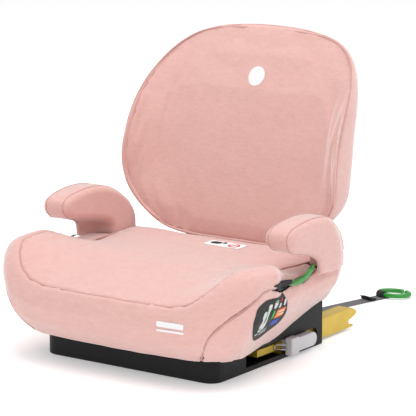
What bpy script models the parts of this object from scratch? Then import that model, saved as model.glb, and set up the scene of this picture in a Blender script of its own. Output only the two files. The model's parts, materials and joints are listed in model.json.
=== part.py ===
"""Booster seat with sliding lower-anchor arms and a hinged backrest.

Metres, +Z up. The front is -Y and the seated child's left is +X. The origin is the middle of
the base's underside, on the floor. The arms are drawn out to the rear.
"""

import math

import bmesh
import bpy
from mathutils import Vector

# ---------------------------------------------------------------- driving sizes
GAP = 0.0003                # between pieces that touch

ANCHOR_SPACING = 0.280      # middle to middle of the two lower-anchor arms
ARM_WIDTH = 0.025
SIDE_ROOM = 0.010           # from an arm's outer face to the tray's outer face

TRAY_LENGTH = 0.298
TRAY_HEIGHT = 0.070
TRAY_WALL = 0.003
TRAY_FLOOR = 0.003
TRAY_FRONT_RADIUS = 0.022
TRAY_REAR_RADIUS = 0.003
LID_THICKNESS = 0.005
LID_LEDGE = 0.0030          # how far the lid stays inside the tray's outer face

BODY_HALF_WIDTH = 0.2335
BODY_FRONT = -0.213
BODY_REAR = 0.130
BODY_FRONT_RADIUS = 0.080
BODY_REAR_RADIUS = 0.058
BODY_BULGE_HEIGHT = 0.105   # where the front stands out furthest
SIDE_BULGE_HEIGHT = 0.155   # where the sides stand out furthest
HEM_LOW = 0.033
HEM_FRONT_RISE = 0.008
HEM_REAR_RISE = 0.037
HEM_OVERHANG_SIDE = 0.0037
HEM_OVERHANG_REAR = 0.004
HEM_FRONT = -0.180
HEM_FRONT_RADIUS = 0.060
HEM_REAR_RADIUS = 0.006
HEM_STRAIGHT = 0.009        # the rear hem runs straight up this far, past the tray's lid
HEM_CORNER_HALF_WIDTH = 0.190   # the front corners stay fuller than the sides
FRONT_BOW = 0.006
COVER_THIN = 0.0028
COVER_THICK = 0.010
SHELL_WALL = 0.0035
SHELL_ROOM = 0.0042          # between the shell and the soft covers
SHELL_START = 0.012         # how far the shell's rim is above the hem

PAN_HEIGHT = 0.156
PAN_FRONT_DROP = 0.031
PAD_REAR = 0.118
PAD_THICKNESS = 0.022
PAD_ROOM = 0.0025           # between the pad and the shell
WING_RISE = 0.054
WING_DIP = 0.029
CREST_HALF_WIDTH = 0.2085
CREST_CORNER_HALF_WIDTH = 0.201
NOTCH_PAD_HALF_WIDTH = 0.179   # the pad is narrower beside the belt path
CREST_FRONT = -0.199
CREST_RADIUS = 0.0625
GUIDE_HEIGHT = 0.1480       # lower edge of the belt path, at the black trim
NOTCH_ROLL = 0.012          # how far the side's top edge rolls in along the belt path
ARM_ROOT_HEIGHT = 0.150

ARMREST_WIDTH = 0.050
ARMREST_TOP = 0.234
ARMREST_TIP = -0.058
ARMREST_UNDERSIDE = 0.190
ARMREST_EDGE = 0.012        # rounding of the armrest's long edges
ARMREST_PAD = 0.011         # foam over the core
ARMREST_STEPS = 28
ARMREST_BEND = 0.056        # behind this the armrest narrows to the body's corner
ARMREST_REAR = 0.143
ARMREST_FOOT = 0.065        # front edge of the armrest's foot, at its inner face
ARMREST_FOOT_OUTER = 0.024  # and at its outer face
CORE_THICKNESS = 0.010
STEM_FRONT = 0.078
STEM_REAR = 0.096
CORE_STEM = 0.018           # how far the stem goes down into the shell

BACK_TOP = 0.485
BACK_BOTTOM = 0.150
BACK_HALF_WIDTH = 0.206
BACK_FOOT = 0.1235          # front face of the backrest at its foot
BACK_SLOPE = 0.30           # metres back for each metre up
BACK_PAD = 0.022
BACK_SHELL = 0.004
BACK_ROOM = 0.0028          # between the pad and its shell
BACK_WRAP = 0.004
BACK_RIM = 0.955            # the front pad's edge, as a share of the outline
BACK_REAR_BULGE = 0.047
BACK_SHOULDER = 0.010       # rounding of the cover's rear edge

HINGE_OFFSET = 0.090        # from the middle of the seat to each backrest hinge
HINGE_HEIGHT = 0.128
LEAF_WIDTH = 0.030
LEAF_THICKNESS = 0.005
EYE_RADIUS = 0.009
HINGE_PIN_RADIUS = 0.004
EAR_THICKNESS = 0.005
EAR_ROOM = 0.001            # between a leaf and its bracket's ears
LEAF_REACH = 0.065          # how far a leaf runs up behind the backrest's shell
COVER_SLOT_ROOM = 0.0025    # round a leaf, where it passes through the cover

CONNECTOR_LENGTH = 0.1165   # from the tray's rear face to the tip of an arm
CONNECTOR_HEIGHT = 0.032
CONNECTOR_FLOOR = 0.004
PLATE = 0.002
TONGUE_FRONT = -0.021
TONGUE_LOW = 0.0126
TONGUE_HIGH = 0.0240
CHANNEL_FRONT = 0.048
CROSS_TUBE_RADIUS = 0.0055
LATCH_PIVOT = (0.228, 0.0215)
LATCH_PIN_RADIUS = 0.003
LATCH_THICKNESS = 0.012

SLOT_FRONT = -0.066
SLOT_REAR = 0.133
SLOT_LOW = 0.008
SLOT_HIGH = 0.031
GRIP_FRONT = 0.039
GRIP_REAR = 0.112
GRIP_DEPTH = 0.014
WIRE_RADIUS = 0.0009

STRAP_WIDTH = 0.025
STRAP_THICKNESS = 0.0014
RING_TUBE = 0.0040
RING_LONG = 0.054           # centre line of the ring, along and across
RING_WIDE = 0.038
RING_TURN = 8.0             # degrees
RING_GAP_AT = 62.0
RING_GAP = 16.0
LOOP_THICKNESS = 0.0014
LOOP_START = 214.0          # degrees round the ring, from its right end
LOOP_END = 250.0

# Sizes that follow from those above.
ARM_CENTRE = ANCHOR_SPACING / 2
ARM_OUTER = ARM_CENTRE + ARM_WIDTH / 2
ARM_INNER = ARM_CENTRE - ARM_WIDTH / 2
TRAY_HALF_WIDTH = ARM_OUTER + SIDE_ROOM
TRAY_REAR = TRAY_LENGTH / 2
CONNECTOR_TOP = CONNECTOR_FLOOR + CONNECTOR_HEIGHT
CONNECTOR_TIP = TRAY_REAR + CONNECTOR_LENGTH
ARMREST_OUTER = BODY_HALF_WIDTH + 0.0035
ARMREST_INNER = ARMREST_OUTER - ARMREST_WIDTH
LID_TOP = TRAY_HEIGHT + GAP + LID_THICKNESS
SIDES = (("left", 1), ("right", -1))

# Shares of the half outline, from the front's middle to the rear's middle.
FRONT_END = 0.22
FRONT_ARC_END = 0.45
SIDE_END = 0.80
REAR_ARC_END = 0.90
OUTLINE_STEPS = 32          # each half outline's points, shared by every piece of the seat body


# ---------------------------------------------------------------- helpers
def clear_scene():
    for old in list(bpy.data.objects):
        bpy.data.objects.remove(old, do_unlink=True)


def make_material(name, colour, roughness, metallic=0.0):
    material = bpy.data.materials.new(name)
    material.use_nodes = True
    shader = material.node_tree.nodes["Principled BSDF"]
    shader.inputs["Base Color"].default_value = (*colour, 1.0)
    shader.inputs["Roughness"].default_value = roughness
    shader.inputs["Metallic"].default_value = metallic
    return material


def ease(value):
    """0 below 0, 1 above 1, and a smooth step between."""
    value = min(max(value, 0.0), 1.0)
    return value * value * (3 - 2 * value)


def mix(a, b, share):
    return a + (b - a) * share


def mesh_object(name, points, faces, material, smooth_angle=40):
    """A closed mesh with its faces pointing out."""
    build = bmesh.new()
    verts = [build.verts.new(point) for point in points]
    for face in faces:
        build.faces.new([verts[index] for index in face])
    return finish(name, build, material, smooth_angle)


def is_bent(face):
    """A face of four or more points that don't lie in one plane, which a Boolean can't cut cleanly."""
    first = face.verts[0].co
    return any(abs((vert.co - first).dot(face.normal)) > 1e-7 for vert in face.verts)


def finish(name, build, material, smooth_angle=40):
    bmesh.ops.remove_doubles(build, verts=build.verts, dist=1e-6)
    bmesh.ops.recalc_face_normals(build, faces=build.faces)
    if build.calc_volume(signed=True) < 0:
        bmesh.ops.reverse_faces(build, faces=build.faces)
    bmesh.ops.triangulate(build, faces=[face for face in build.faces if is_bent(face)])
    mesh = bpy.data.meshes.new(name)
    build.to_mesh(mesh)
    build.free()
    mesh.shade_smooth()
    mesh.set_sharp_from_angle(angle=math.radians(smooth_angle))
    piece = bpy.data.objects.new(name, mesh)
    bpy.context.scene.collection.objects.link(piece)
    if material:
        mesh.materials.append(material)
    return piece


def loft(name, rings, material, smooth_angle=40):
    """A solid through closed rings of points, with its two ends filled."""
    count = len(rings[0])
    points = [point for ring in rings for point in ring]
    faces = []
    for row in range(len(rings) - 1):
        low = row * count
        for k in range(count):
            after = (k + 1) % count
            faces.append((low + k, low + after, low + count + after, low + count + k))
    faces.append(tuple(range(count)))
    last = (len(rings) - 1) * count
    faces.append(tuple(range(last, last + count)))
    return mesh_object(name, points, faces, material, smooth_angle)


def slab(name, outer, inner, material, smooth_angle=40):
    """A solid between two grids of points of the same size."""
    rows = len(outer)
    columns = len(outer[0])
    points = [point for grid in (outer, inner) for line in grid for point in line]

    def at(skin, row, column):
        return skin * rows * columns + row * columns + column

    faces = []
    for skin in (0, 1):
        for row in range(rows - 1):
            for column in range(columns - 1):
                faces.append((at(skin, row, column), at(skin, row, column + 1),
                              at(skin, row + 1, column + 1), at(skin, row + 1, column)))
    edge = [(0, c) for c in range(columns)] + [(r, columns - 1) for r in range(1, rows)]
    edge += [(rows - 1, c) for c in range(columns - 2, -1, -1)] + [(r, 0) for r in range(rows - 2, 0, -1)]
    for here, after in zip(edge, edge[1:] + edge[:1]):
        faces.append((at(0, *here), at(0, *after), at(1, *after), at(1, *here)))
    return mesh_object(name, points, faces, material, smooth_angle)


def extrude_x(name, outline, low, high, material, bevel=0.0, smooth_angle=40):
    """A solid with an outline of (y, z) points, between two x values."""
    build = bmesh.new()
    face = build.faces.new([build.verts.new((low, y, z)) for y, z in outline])
    side = bmesh.ops.extrude_face_region(build, geom=[face])["geom"]
    moved = [item for item in side if isinstance(item, bmesh.types.BMVert)]
    bmesh.ops.translate(build, vec=(high - low, 0, 0), verts=moved)
    if bevel:
        ends = [edge for edge in build.edges if edge.verts[0].co.x == edge.verts[1].co.x]
        bmesh.ops.bevel(build, geom=ends, offset=bevel, segments=2, profile=0.5, affect="EDGES")
    return finish(name, build, material, smooth_angle)


def box(name, low, high, material, bevel=0.0, segments=2):
    build = bmesh.new()
    bmesh.ops.create_cube(build, size=1.0)
    low = Vector(low)
    high = Vector(high)
    bmesh.ops.scale(build, vec=high - low, verts=build.verts)
    bmesh.ops.translate(build, vec=(high + low) / 2, verts=build.verts)
    if bevel:
        bmesh.ops.bevel(build, geom=build.edges, offset=bevel, segments=segments, profile=0.5, affect="EDGES")
    return finish(name, build, material)


def rod(name, start, end, radius, material, sides=20, heads=0.0, head_length=0.0):
    """A round bar from start to end, with an optional head at each end."""
    start = Vector(start)
    end = Vector(end)
    along = (end - start).normalized()
    stations = [(0.0, radius), ((end - start).length, radius)]
    if heads:
        length = (end - start).length
        stations = [(0.0, heads), (head_length, heads), (head_length, radius),
                    (length - head_length, radius), (length - head_length, heads), (length, heads)]
    turn = along.to_track_quat("Z", "Y").to_matrix()
    rings = []
    for distance, size in stations:
        ring = []
        for k in range(sides):
            angle = 2 * math.pi * k / sides
            ring.append(start + turn @ Vector((size * math.cos(angle), size * math.sin(angle), distance)))
        rings.append(ring)
    return loft(name, rings, material, 50)


def combine(piece, tool, operation):
    """Cut a tool out of a piece, or join it on. The tool stays as a hidden wire frame."""
    tool.hide_render = True
    tool.display_type = "WIRE"
    change = piece.modifiers.new(tool.name, "BOOLEAN")
    change.operation = operation
    change.solver = "EXACT"
    change.object = tool


def curve_through(points, count, closed=False):
    """Points of a smooth curve through the given points."""
    points = [Vector(point) for point in points]
    total = len(points)
    spans = total if closed else total - 1
    result = []
    for k in range(count):
        place = k * spans / (count if closed else count - 1)
        span = min(int(place), spans - 1)
        share = place - span
        if closed:
            a, b, c, d = (points[(span + shift) % total] for shift in (-1, 0, 1, 2))
        else:
            b, c = points[span], points[span + 1]
            a = points[span - 1] if span else b + (b - c)
            d = points[span + 2] if span + 2 < total else c + (c - b)
        result.append(0.5 * (2 * b + (c - a) * share + (2 * a - 5 * b + 4 * c - d) * share ** 2
                             + (3 * b - a - 3 * c + d) * share ** 3))
    return result


def arc(centre, radius, start, end, count):
    """Points of an arc in a plane, with its angles in degrees."""
    points = []
    for k in range(count):
        angle = math.radians(mix(start, end, k / (count - 1)))
        points.append((centre[0] + radius * math.cos(angle), centre[1] + radius * math.sin(angle)))
    return points


def tube(name, points, radius, material, closed=False):
    """A round wire along the points."""
    data = bpy.data.curves.new(name, "CURVE")
    data.dimensions = "3D"
    data.bevel_depth = radius
    data.bevel_resolution = 2
    data.use_fill_caps = True
    line = data.splines.new("POLY")
    line.points.add(len(points) - 1)
    for slot, point in zip(line.points, points):
        slot.co = (*point, 1.0)
    line.use_cyclic_u = closed
    line.use_smooth = True
    piece = bpy.data.objects.new(name, data)
    bpy.context.scene.collection.objects.link(piece)
    data.materials.append(material)
    return piece


# ---------------------------------------------------------------- the seat body's form
def plan(s, half_width, front, rear, front_radius, rear_radius, bow=0.0):
    """A point of the left half of a rounded outline; s is 0 at the front's middle, 1 at the rear's."""
    if s <= FRONT_END:
        share = s / FRONT_END
        x = share * (half_width - front_radius)
        return x, front - bow * (1 - share * share)
    if s <= FRONT_ARC_END:
        angle = math.pi / 2 * (s - FRONT_END) / (FRONT_ARC_END - FRONT_END)
        return (half_width - front_radius * (1 - math.sin(angle)),
                front + front_radius * (1 - math.cos(angle)))
    if s <= SIDE_END:
        share = (s - FRONT_ARC_END) / (SIDE_END - FRONT_ARC_END)
        return half_width, mix(front + front_radius, rear - rear_radius, share)
    if s <= REAR_ARC_END:
        angle = math.pi / 2 * (s - SIDE_END) / (REAR_ARC_END - SIDE_END)
        return (half_width - rear_radius * (1 - math.cos(angle)),
                rear - rear_radius * (1 - math.sin(angle)))
    share = (s - REAR_ARC_END) / (1 - REAR_ARC_END)
    return (half_width - rear_radius) * (1 - share), rear


def outline(s, z, inset=0.0):
    """The covers' outer face at a height, moved in by an inset."""
    hem = hem_height(s)
    rise = max(z - hem, 0.0)
    behind_corner = ease((side_y(s) + 0.150) / 0.100)
    hem_half_width = mix(HEM_CORNER_HALF_WIDTH, TRAY_HALF_WIDTH + HEM_OVERHANG_SIDE, behind_corner)
    at_rear = ease((side_y(s) - 0.010) / 0.060)
    straight = HEM_STRAIGHT * at_rear
    side_drop = min(max(1 - (rise - straight) / (SIDE_BULGE_HEIGHT - hem - straight), 0.0), 1.0)
    fullness = mix(mix(2.3, 1.7, behind_corner), 3.2, at_rear)
    half_width = mix(BODY_HALF_WIDTH, hem_half_width, side_drop ** fullness)
    along_belt = ease((s - 0.53) / 0.06) * ease((SIDE_END - s) / 0.04)
    half_width -= NOTCH_ROLL * ease((z - 0.128) / 0.022) * along_belt
    front_drop = max(1 - rise / (BODY_BULGE_HEIGHT - hem), 0.0)
    front = mix(BODY_FRONT, HEM_FRONT, front_drop ** 2)
    rear = mix(TRAY_REAR + HEM_OVERHANG_REAR, BODY_REAR, ease((rise - HEM_STRAIGHT) / 0.020))
    front_radius = mix(HEM_FRONT_RADIUS, BODY_FRONT_RADIUS, ease(rise / 0.07))
    rear_radius = mix(HEM_REAR_RADIUS, BODY_REAR_RADIUS, ease((rise - HEM_STRAIGHT) / 0.03))
    return plan(s, half_width - inset, front + inset, rear - inset,
                max(front_radius - inset, 0.004), max(rear_radius - inset, 0.004), FRONT_BOW)


def side_y(s):
    """How far back the outline's side is at s."""
    return plan(s, BODY_HALF_WIDTH, BODY_FRONT, BODY_REAR, BODY_FRONT_RADIUS, BODY_REAR_RADIUS, FRONT_BOW)[1]


def hem_height(s):
    y = plan(s, BODY_HALF_WIDTH, HEM_FRONT, TRAY_REAR + HEM_OVERHANG_REAR, HEM_FRONT_RADIUS, HEM_REAR_RADIUS)[1]
    return HEM_LOW + HEM_FRONT_RISE * ease((-0.09 - y) / 0.09) + HEM_REAR_RISE * ease((y + 0.03) / 0.18)


def crest_height(s):
    """The seam that closes the top pad: low in front, up over the wing, and down to the pan."""
    rise = WING_RISE * ease((s - 0.14) / 0.29) ** 1.6
    dip = WING_DIP * ease((s - 0.52) / 0.14)
    return PAN_HEIGHT - PAN_FRONT_DROP + rise - dip


def crest(s, inset=0.0):
    wide = mix(CREST_CORNER_HALF_WIDTH, CREST_HALF_WIDTH, ease((s - 0.42) / 0.09))
    half_width = mix(wide, NOTCH_PAD_HALF_WIDTH, ease((s - 0.55) / 0.07))
    half_width = mix(half_width, ARMREST_INNER - 0.0012, ease((s - 0.66) / 0.07))
    return plan(s, half_width - inset, CREST_FRONT + inset, PAD_REAR - inset,
                CREST_RADIUS - inset, 0.022 - inset, FRONT_BOW)


def pan_height(y):
    """The pad's top along the middle, falling away towards the knees."""
    fall = max(-0.05 - y, 0.0) / (-0.05 - CREST_FRONT + FRONT_BOW)
    return PAN_HEIGHT - PAN_FRONT_DROP * min(fall, 1.0) ** 2.2


SEAM_LOW = 0.2885           # where the seam between front and side covers meets the hem
SEAM_HIGH = 0.470           # and where it reaches the belt path
NOTCH_END = 0.750           # rear end of the belt path
TRIM_ROOM = 0.0014
TRIM_FRONT_END = 0.026      # how far a trim's ends stay inside its pocket, as shares of the outline
TRIM_REAR_END = 0.015
SEAM_SAMPLES = [SEAM_LOW + 0.001, SEAM_LOW + 0.006, SEAM_LOW + 0.014]   # more points where the seam is steep


def panel_edge(s):
    """The seam between the front cover and a side cover, then the belt path's lower edge."""
    hem = hem_height(s)
    climb = min(max((s - SEAM_LOW) / (SEAM_HIGH - SEAM_LOW), 0.0), 1.0) ** 0.33
    belt = GUIDE_HEIGHT - 0.003 * math.sin(math.pi * min(max((s - 0.53) / 0.12, 0), 1))
    belt += (ARM_ROOT_HEIGHT - GUIDE_HEIGHT) * ease((s - 0.62) / (NOTCH_END - 0.62))
    return mix(hem, belt, climb)


def trim_depth(s, start, end, depth):
    """A trim is a crescent: it tapers to nothing at both ends."""
    if not start < s < end:
        return 0.0
    return depth * math.sin(math.pi * (s - start) / (end - start)) ** 0.8


BLACK_TRIM = (0.505, 0.625, 0.0078)
GREEN_TRIM = (0.613, 0.725, 0.0085)


def side_edge(s):
    """The top edge of the side cover itself, below the trims."""
    return panel_edge(s) - max(trim_depth(s, *BLACK_TRIM), trim_depth(s, *GREEN_TRIM))


def between_samples(edge, s):
    """An edge's height as the covers hold it, straight between the outline's shared samples."""
    before = int(s * OUTLINE_STEPS) / OUTLINE_STEPS
    after = before + 1 / OUTLINE_STEPS
    return mix(edge(before), edge(after), (s - before) * OUTLINE_STEPS)


def cover_thickness(s, z):
    return mix(COVER_THIN, COVER_THICK, ease((z - hem_height(s)) / 0.05))


def wall_point(side, s, low, high, share, inset, top_drop):
    """A point of a cover that runs up from a lower edge and rolls over to the crest seam."""
    z = mix(low, high - top_drop, math.sin(math.pi / 2 * share))
    roll = (1 - math.cos(math.pi / 2 * share)) ** 1.6
    x, y = outline(s, z, inset(s, z))
    crest_x, crest_y = crest(s)
    return Vector((side * mix(x, crest_x, roll), mix(y, crest_y, roll), z))


# ---------------------------------------------------------------- base
def bodies_of_base(materials):
    black = materials["black_plastic"]

    def ring(inset, z):
        points = []
        steps = 44
        for k in range(steps):
            s = 2 * k / steps
            side = 1 if s <= 1 else -1
            x, y = plan(s if s <= 1 else 2 - s, TRAY_HALF_WIDTH - inset, -TRAY_REAR + inset,
                        TRAY_REAR - inset, TRAY_FRONT_RADIUS - inset,
                        max(TRAY_REAR_RADIUS - inset, 0.0005))
            points.append(Vector((side * x, y, z)))
        return points

    tray = loft("base_tray", [ring(0.0015, 0.0), ring(0.0, 0.0015), ring(0.0, TRAY_HEIGHT),
                              ring(TRAY_WALL, TRAY_HEIGHT), ring(TRAY_WALL, TRAY_FLOOR)], black)
    bosses = [(x * 0.100, y * 0.128) for x in (-1, 1) for y in (-1, 1)]
    boss_low = TRAY_FLOOR - 0.001
    for index, (x, y) in enumerate(bosses):
        boss = rod(f"boss_tool_{index}", (x, y, boss_low), (x, y, TRAY_HEIGHT), 0.006, None, 12)
        combine(tray, boss, "UNION")
    screw_radius = 0.002
    for index, (x, y) in enumerate(bosses):
        hole = rod(f"boss_hole_tool_{index}", (x, y, TRAY_HEIGHT - 0.020), (x, y, TRAY_HEIGHT + 0.01),
                   screw_radius + GAP, None, 12)
        combine(tray, hole, "DIFFERENCE")
    for name, side in SIDES:
        round_end = (SLOT_HIGH - SLOT_LOW) / 2
        middle = (SLOT_HIGH + SLOT_LOW) / 2
        slot = [(SLOT_FRONT, SLOT_LOW)] + arc((SLOT_REAR - round_end, middle), round_end, -90, 90, 7)
        slot += [(SLOT_FRONT, SLOT_HIGH)]
        cutter = extrude_x(f"slot_tool_{name}", slot, side * (TRAY_HALF_WIDTH - 0.006),
                           side * (TRAY_HALF_WIDTH + 0.004), None)
        combine(tray, cutter, "DIFFERENCE")
        room = 0.0008
        window = box(f"window_tool_{name}",
                     (side * ARM_CENTRE - ARM_WIDTH / 2 - room, TRAY_REAR - 0.008, TRAY_FLOOR),
                     (side * ARM_CENTRE + ARM_WIDTH / 2 + room, TRAY_REAR + 0.004, CONNECTOR_TOP + room), None)
        combine(tray, window, "DIFFERENCE")

    lid_rings = [ring(LID_LEDGE, TRAY_HEIGHT + GAP), ring(LID_LEDGE, LID_TOP)]
    lid = loft("tray_lid", lid_rings, black)
    head_radius = 0.0045
    head_height = 0.0025
    for index, (x, y) in enumerate(bosses):
        hole = rod(f"lid_hole_tool_{index}", (x, y, TRAY_HEIGHT - 0.01), (x, y, LID_TOP + 0.01),
                   screw_radius + GAP, None, 12)
        seat = rod(f"lid_seat_tool_{index}", (x, y, LID_TOP - head_height - GAP), (x, y, LID_TOP + 0.01),
                   head_radius + GAP, None, 16)
        combine(lid, hole, "DIFFERENCE")
        combine(lid, seat, "DIFFERENCE")
        top = LID_TOP - GAP
        rings = []
        for z, radius in ((TRAY_HEIGHT - 0.016, screw_radius), (top - head_height, screw_radius),
                          (top - head_height, head_radius), (top, head_radius)):
            rings.append([Vector((x + radius * math.cos(math.tau * k / 16),
                                  y + radius * math.sin(math.tau * k / 16), z)) for k in range(16)])
        loft(f"lid_screw_{index + 1}", rings, materials["steel"])

    for name, side in SIDES:
        inner = ARM_INNER - 0.0035
        rail_low = TRAY_FLOOR + GAP
        rail_top = CONNECTOR_TOP + 0.0035
        section = [(inner, rail_low), (inner + 0.003, rail_low), (inner + 0.003, CONNECTOR_TOP + 0.0005),
                   (ARM_OUTER, CONNECTOR_TOP + 0.0005), (ARM_OUTER, rail_top), (inner, rail_top)]
        front = [Vector((side * x, 0.058, z)) for x, z in section]
        rear = [Vector((side * x, TRAY_REAR - TRAY_WALL - 0.0015, z)) for x, z in section]
        loft(f"guide_rail_{name}", [front, rear], materials["steel"])

        leaf = 0.0008
        top = TRAY_HEIGHT - GAP
        contact = CONNECTOR_TOP + 0.0004
        upper = [(-0.050, top), (-0.010, top), (0.020, contact + leaf + 0.004), (0.030, contact + leaf),
                 (0.040, contact + leaf), (0.050, contact + leaf + 0.006)]
        lower = [(0.0507, contact + 0.0055), (0.0403, contact), (0.0297, contact),
                 (0.0192, contact + 0.0036), (-0.0105, top - leaf), (-0.050, top - leaf)]
        centre = side * ARM_CENTRE
        extrude_x(f"detent_leaf_{name}", upper + lower, centre - 0.006, centre + 0.006, materials["steel"])

    anchor_low = 0.036
    anchor = box("strap_anchor", (-STRAP_WIDTH / 2 - 0.006, TRAY_REAR + GAP, anchor_low),
                 (STRAP_WIDTH / 2 + 0.006, TRAY_REAR + 0.0045, anchor_low + 0.020), black, 0.0012)
    slot = box("anchor_slot_tool", (-STRAP_WIDTH / 2 - 0.001, TRAY_REAR - 0.004, anchor_low + 0.0080),
               (STRAP_WIDTH / 2 + 0.001, TRAY_REAR + 0.008, anchor_low + 0.0120), None)
    combine(anchor, slot, "DIFFERENCE")


# ---------------------------------------------------------------- carriage with the anchor arms
def bodies_of_carriage(materials):
    tip = CONNECTOR_TIP
    top = CONNECTOR_TOP
    for name, side in SIDES:
        profile = [(TONGUE_FRONT, TONGUE_LOW), (CHANNEL_FRONT - 0.004, TONGUE_LOW),
                   (CHANNEL_FRONT - 0.004, CONNECTOR_FLOOR), (tip - 0.0165, CONNECTOR_FLOOR),
                   (tip - 0.0075, CONNECTOR_FLOOR + 0.0008), (tip - 0.0135, CONNECTOR_FLOOR + 0.0050),
                   (tip - 0.0215, CONNECTOR_FLOOR + 0.0056), (tip - 0.0235, CONNECTOR_FLOOR + 0.0080),
                   (tip - 0.0235, CONNECTOR_FLOOR + 0.0110), (tip - 0.0210, CONNECTOR_FLOOR + 0.0135),
                   (tip - 0.0155, CONNECTOR_FLOOR + 0.0140), (tip, CONNECTOR_FLOOR + 0.0195),
                   (tip - 0.0005, top - 0.0065), (tip - 0.0135, top - 0.0008), (tip - 0.0165, top),
                   (CHANNEL_FRONT - 0.004, top), (CHANNEL_FRONT - 0.004, TONGUE_HIGH),
                   (TONGUE_FRONT, TONGUE_HIGH)]
        arm = extrude_x(f"anchor_arm_{name}", profile, side * ARM_INNER, side * ARM_OUTER,
                        materials["zinc"], 0.0006)
        hollow = box(f"arm_hollow_tool_{name}",
                     (side * ARM_CENTRE - ARM_WIDTH / 2 + PLATE, CHANNEL_FRONT, CONNECTOR_FLOOR - 0.01),
                     (side * ARM_CENTRE + ARM_WIDTH / 2 - PLATE, tip + 0.01, top - PLATE), None)
        combine(arm, hollow, "DIFFERENCE")

        pin_reach = ARM_WIDTH / 2 - PLATE - GAP
        centre = side * ARM_CENTRE
        rod(f"latch_pin_{name}", (centre - pin_reach, *LATCH_PIVOT), (centre + pin_reach, *LATCH_PIVOT),
            LATCH_PIN_RADIUS, materials["steel"], 20)

        y, z = LATCH_PIVOT
        hook = arc((y, z), 0.0062, 40, 270, 9)
        hook += [(y + 0.0085, z - 0.0095), (y + 0.0135, z - 0.0120), (y + 0.0140, z - 0.0060), (y + 0.0075, z + 0.0015)]
        latch = extrude_x(f"latch_hook_{name}", hook, centre - LATCH_THICKNESS / 2,
                          centre + LATCH_THICKNESS / 2, materials["steel"], 0.0004)
        hole = rod(f"latch_hole_tool_{name}", (centre - 0.01, y, z), (centre + 0.01, y, z),
                   LATCH_PIN_RADIUS + GAP, None, 20)
        combine(latch, hole, "DIFFERENCE")

        neck_reach = 0.0005
        outer = TRAY_HALF_WIDTH + 0.0005
        flange_rear = GRIP_FRONT + 0.021
        grip = box(f"release_grip_{name}", *low_high(side, outer, outer + GRIP_DEPTH,
                   GRIP_FRONT, flange_rear, 0.005, 0.033), materials["grip_plastic"], 0.0022)
        round_end = 0.011
        middle = 0.0197
        body = [(flange_rear - 0.006, middle - round_end)]
        body += arc((GRIP_REAR - round_end, middle), round_end, -90, 90, 9)
        body += [(flange_rear - 0.006, middle + round_end)]
        body_tool = extrude_x(f"grip_body_tool_{name}", body, side * outer,
                              side * (outer + GRIP_DEPTH - 0.0015), None, 0.0015)
        neck = box(f"grip_neck_tool_{name}", *low_high(side, ARM_OUTER + neck_reach, outer + 0.003,
                   GRIP_FRONT + 0.006, GRIP_REAR - 0.007, SLOT_LOW + 0.0025, SLOT_HIGH - 0.0025), None)
        combine(grip, body_tool, "UNION")
        combine(grip, neck, "UNION")

        wire_high = 0.0225
        wire_low = 0.0150
        loop = (wire_high - wire_low) / 2
        near = ARM_OUTER + WIRE_RADIUS + 0.0006
        far = outer + 0.004
        start = GRIP_FRONT - GAP
        run = [Vector((side * far, start, wire_high)), Vector((side * (far - 0.001), start - 0.003, wire_high)),
               Vector((side * (near + 0.002), 0.0300, wire_high)), Vector((side * near, 0.0265, wire_high))]
        bend = [Vector((side * near, 0.0265 + loop * math.cos(angle), wire_low + loop + loop * math.sin(angle)))
                for angle in (math.radians(90 + 22.5 * k) for k in range(1, 8))]
        back = [Vector((point.x, point.y, wire_low)) for point in reversed(run)]
        tube(f"release_wire_{name}", run + bend + back, WIRE_RADIUS, materials["steel"])

    reach = ARM_INNER - GAP
    tongue_middle = (TONGUE_LOW + TONGUE_HIGH) / 2
    rod("cross_tube", (-reach, 0.0, tongue_middle), (reach, 0.0, tongue_middle), CROSS_TUBE_RADIUS,
        materials["steel"], 24)


def low_high(side, x_low, x_high, y_low, y_high, z_low, z_high):
    """The two corners of a box whose x values are given for the left side."""
    first, second = sorted((side * x_low, side * x_high))
    return (first, y_low, z_low), (second, y_high, z_high)


# ---------------------------------------------------------------- seat body
def loop_values():
    """(side, s) round the whole outline, from the front's middle by the left."""
    for k in range(2 * OUTLINE_STEPS):
        s = k / OUTLINE_STEPS
        yield (1, s) if s <= 1 else (-1, 2 - s)


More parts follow.
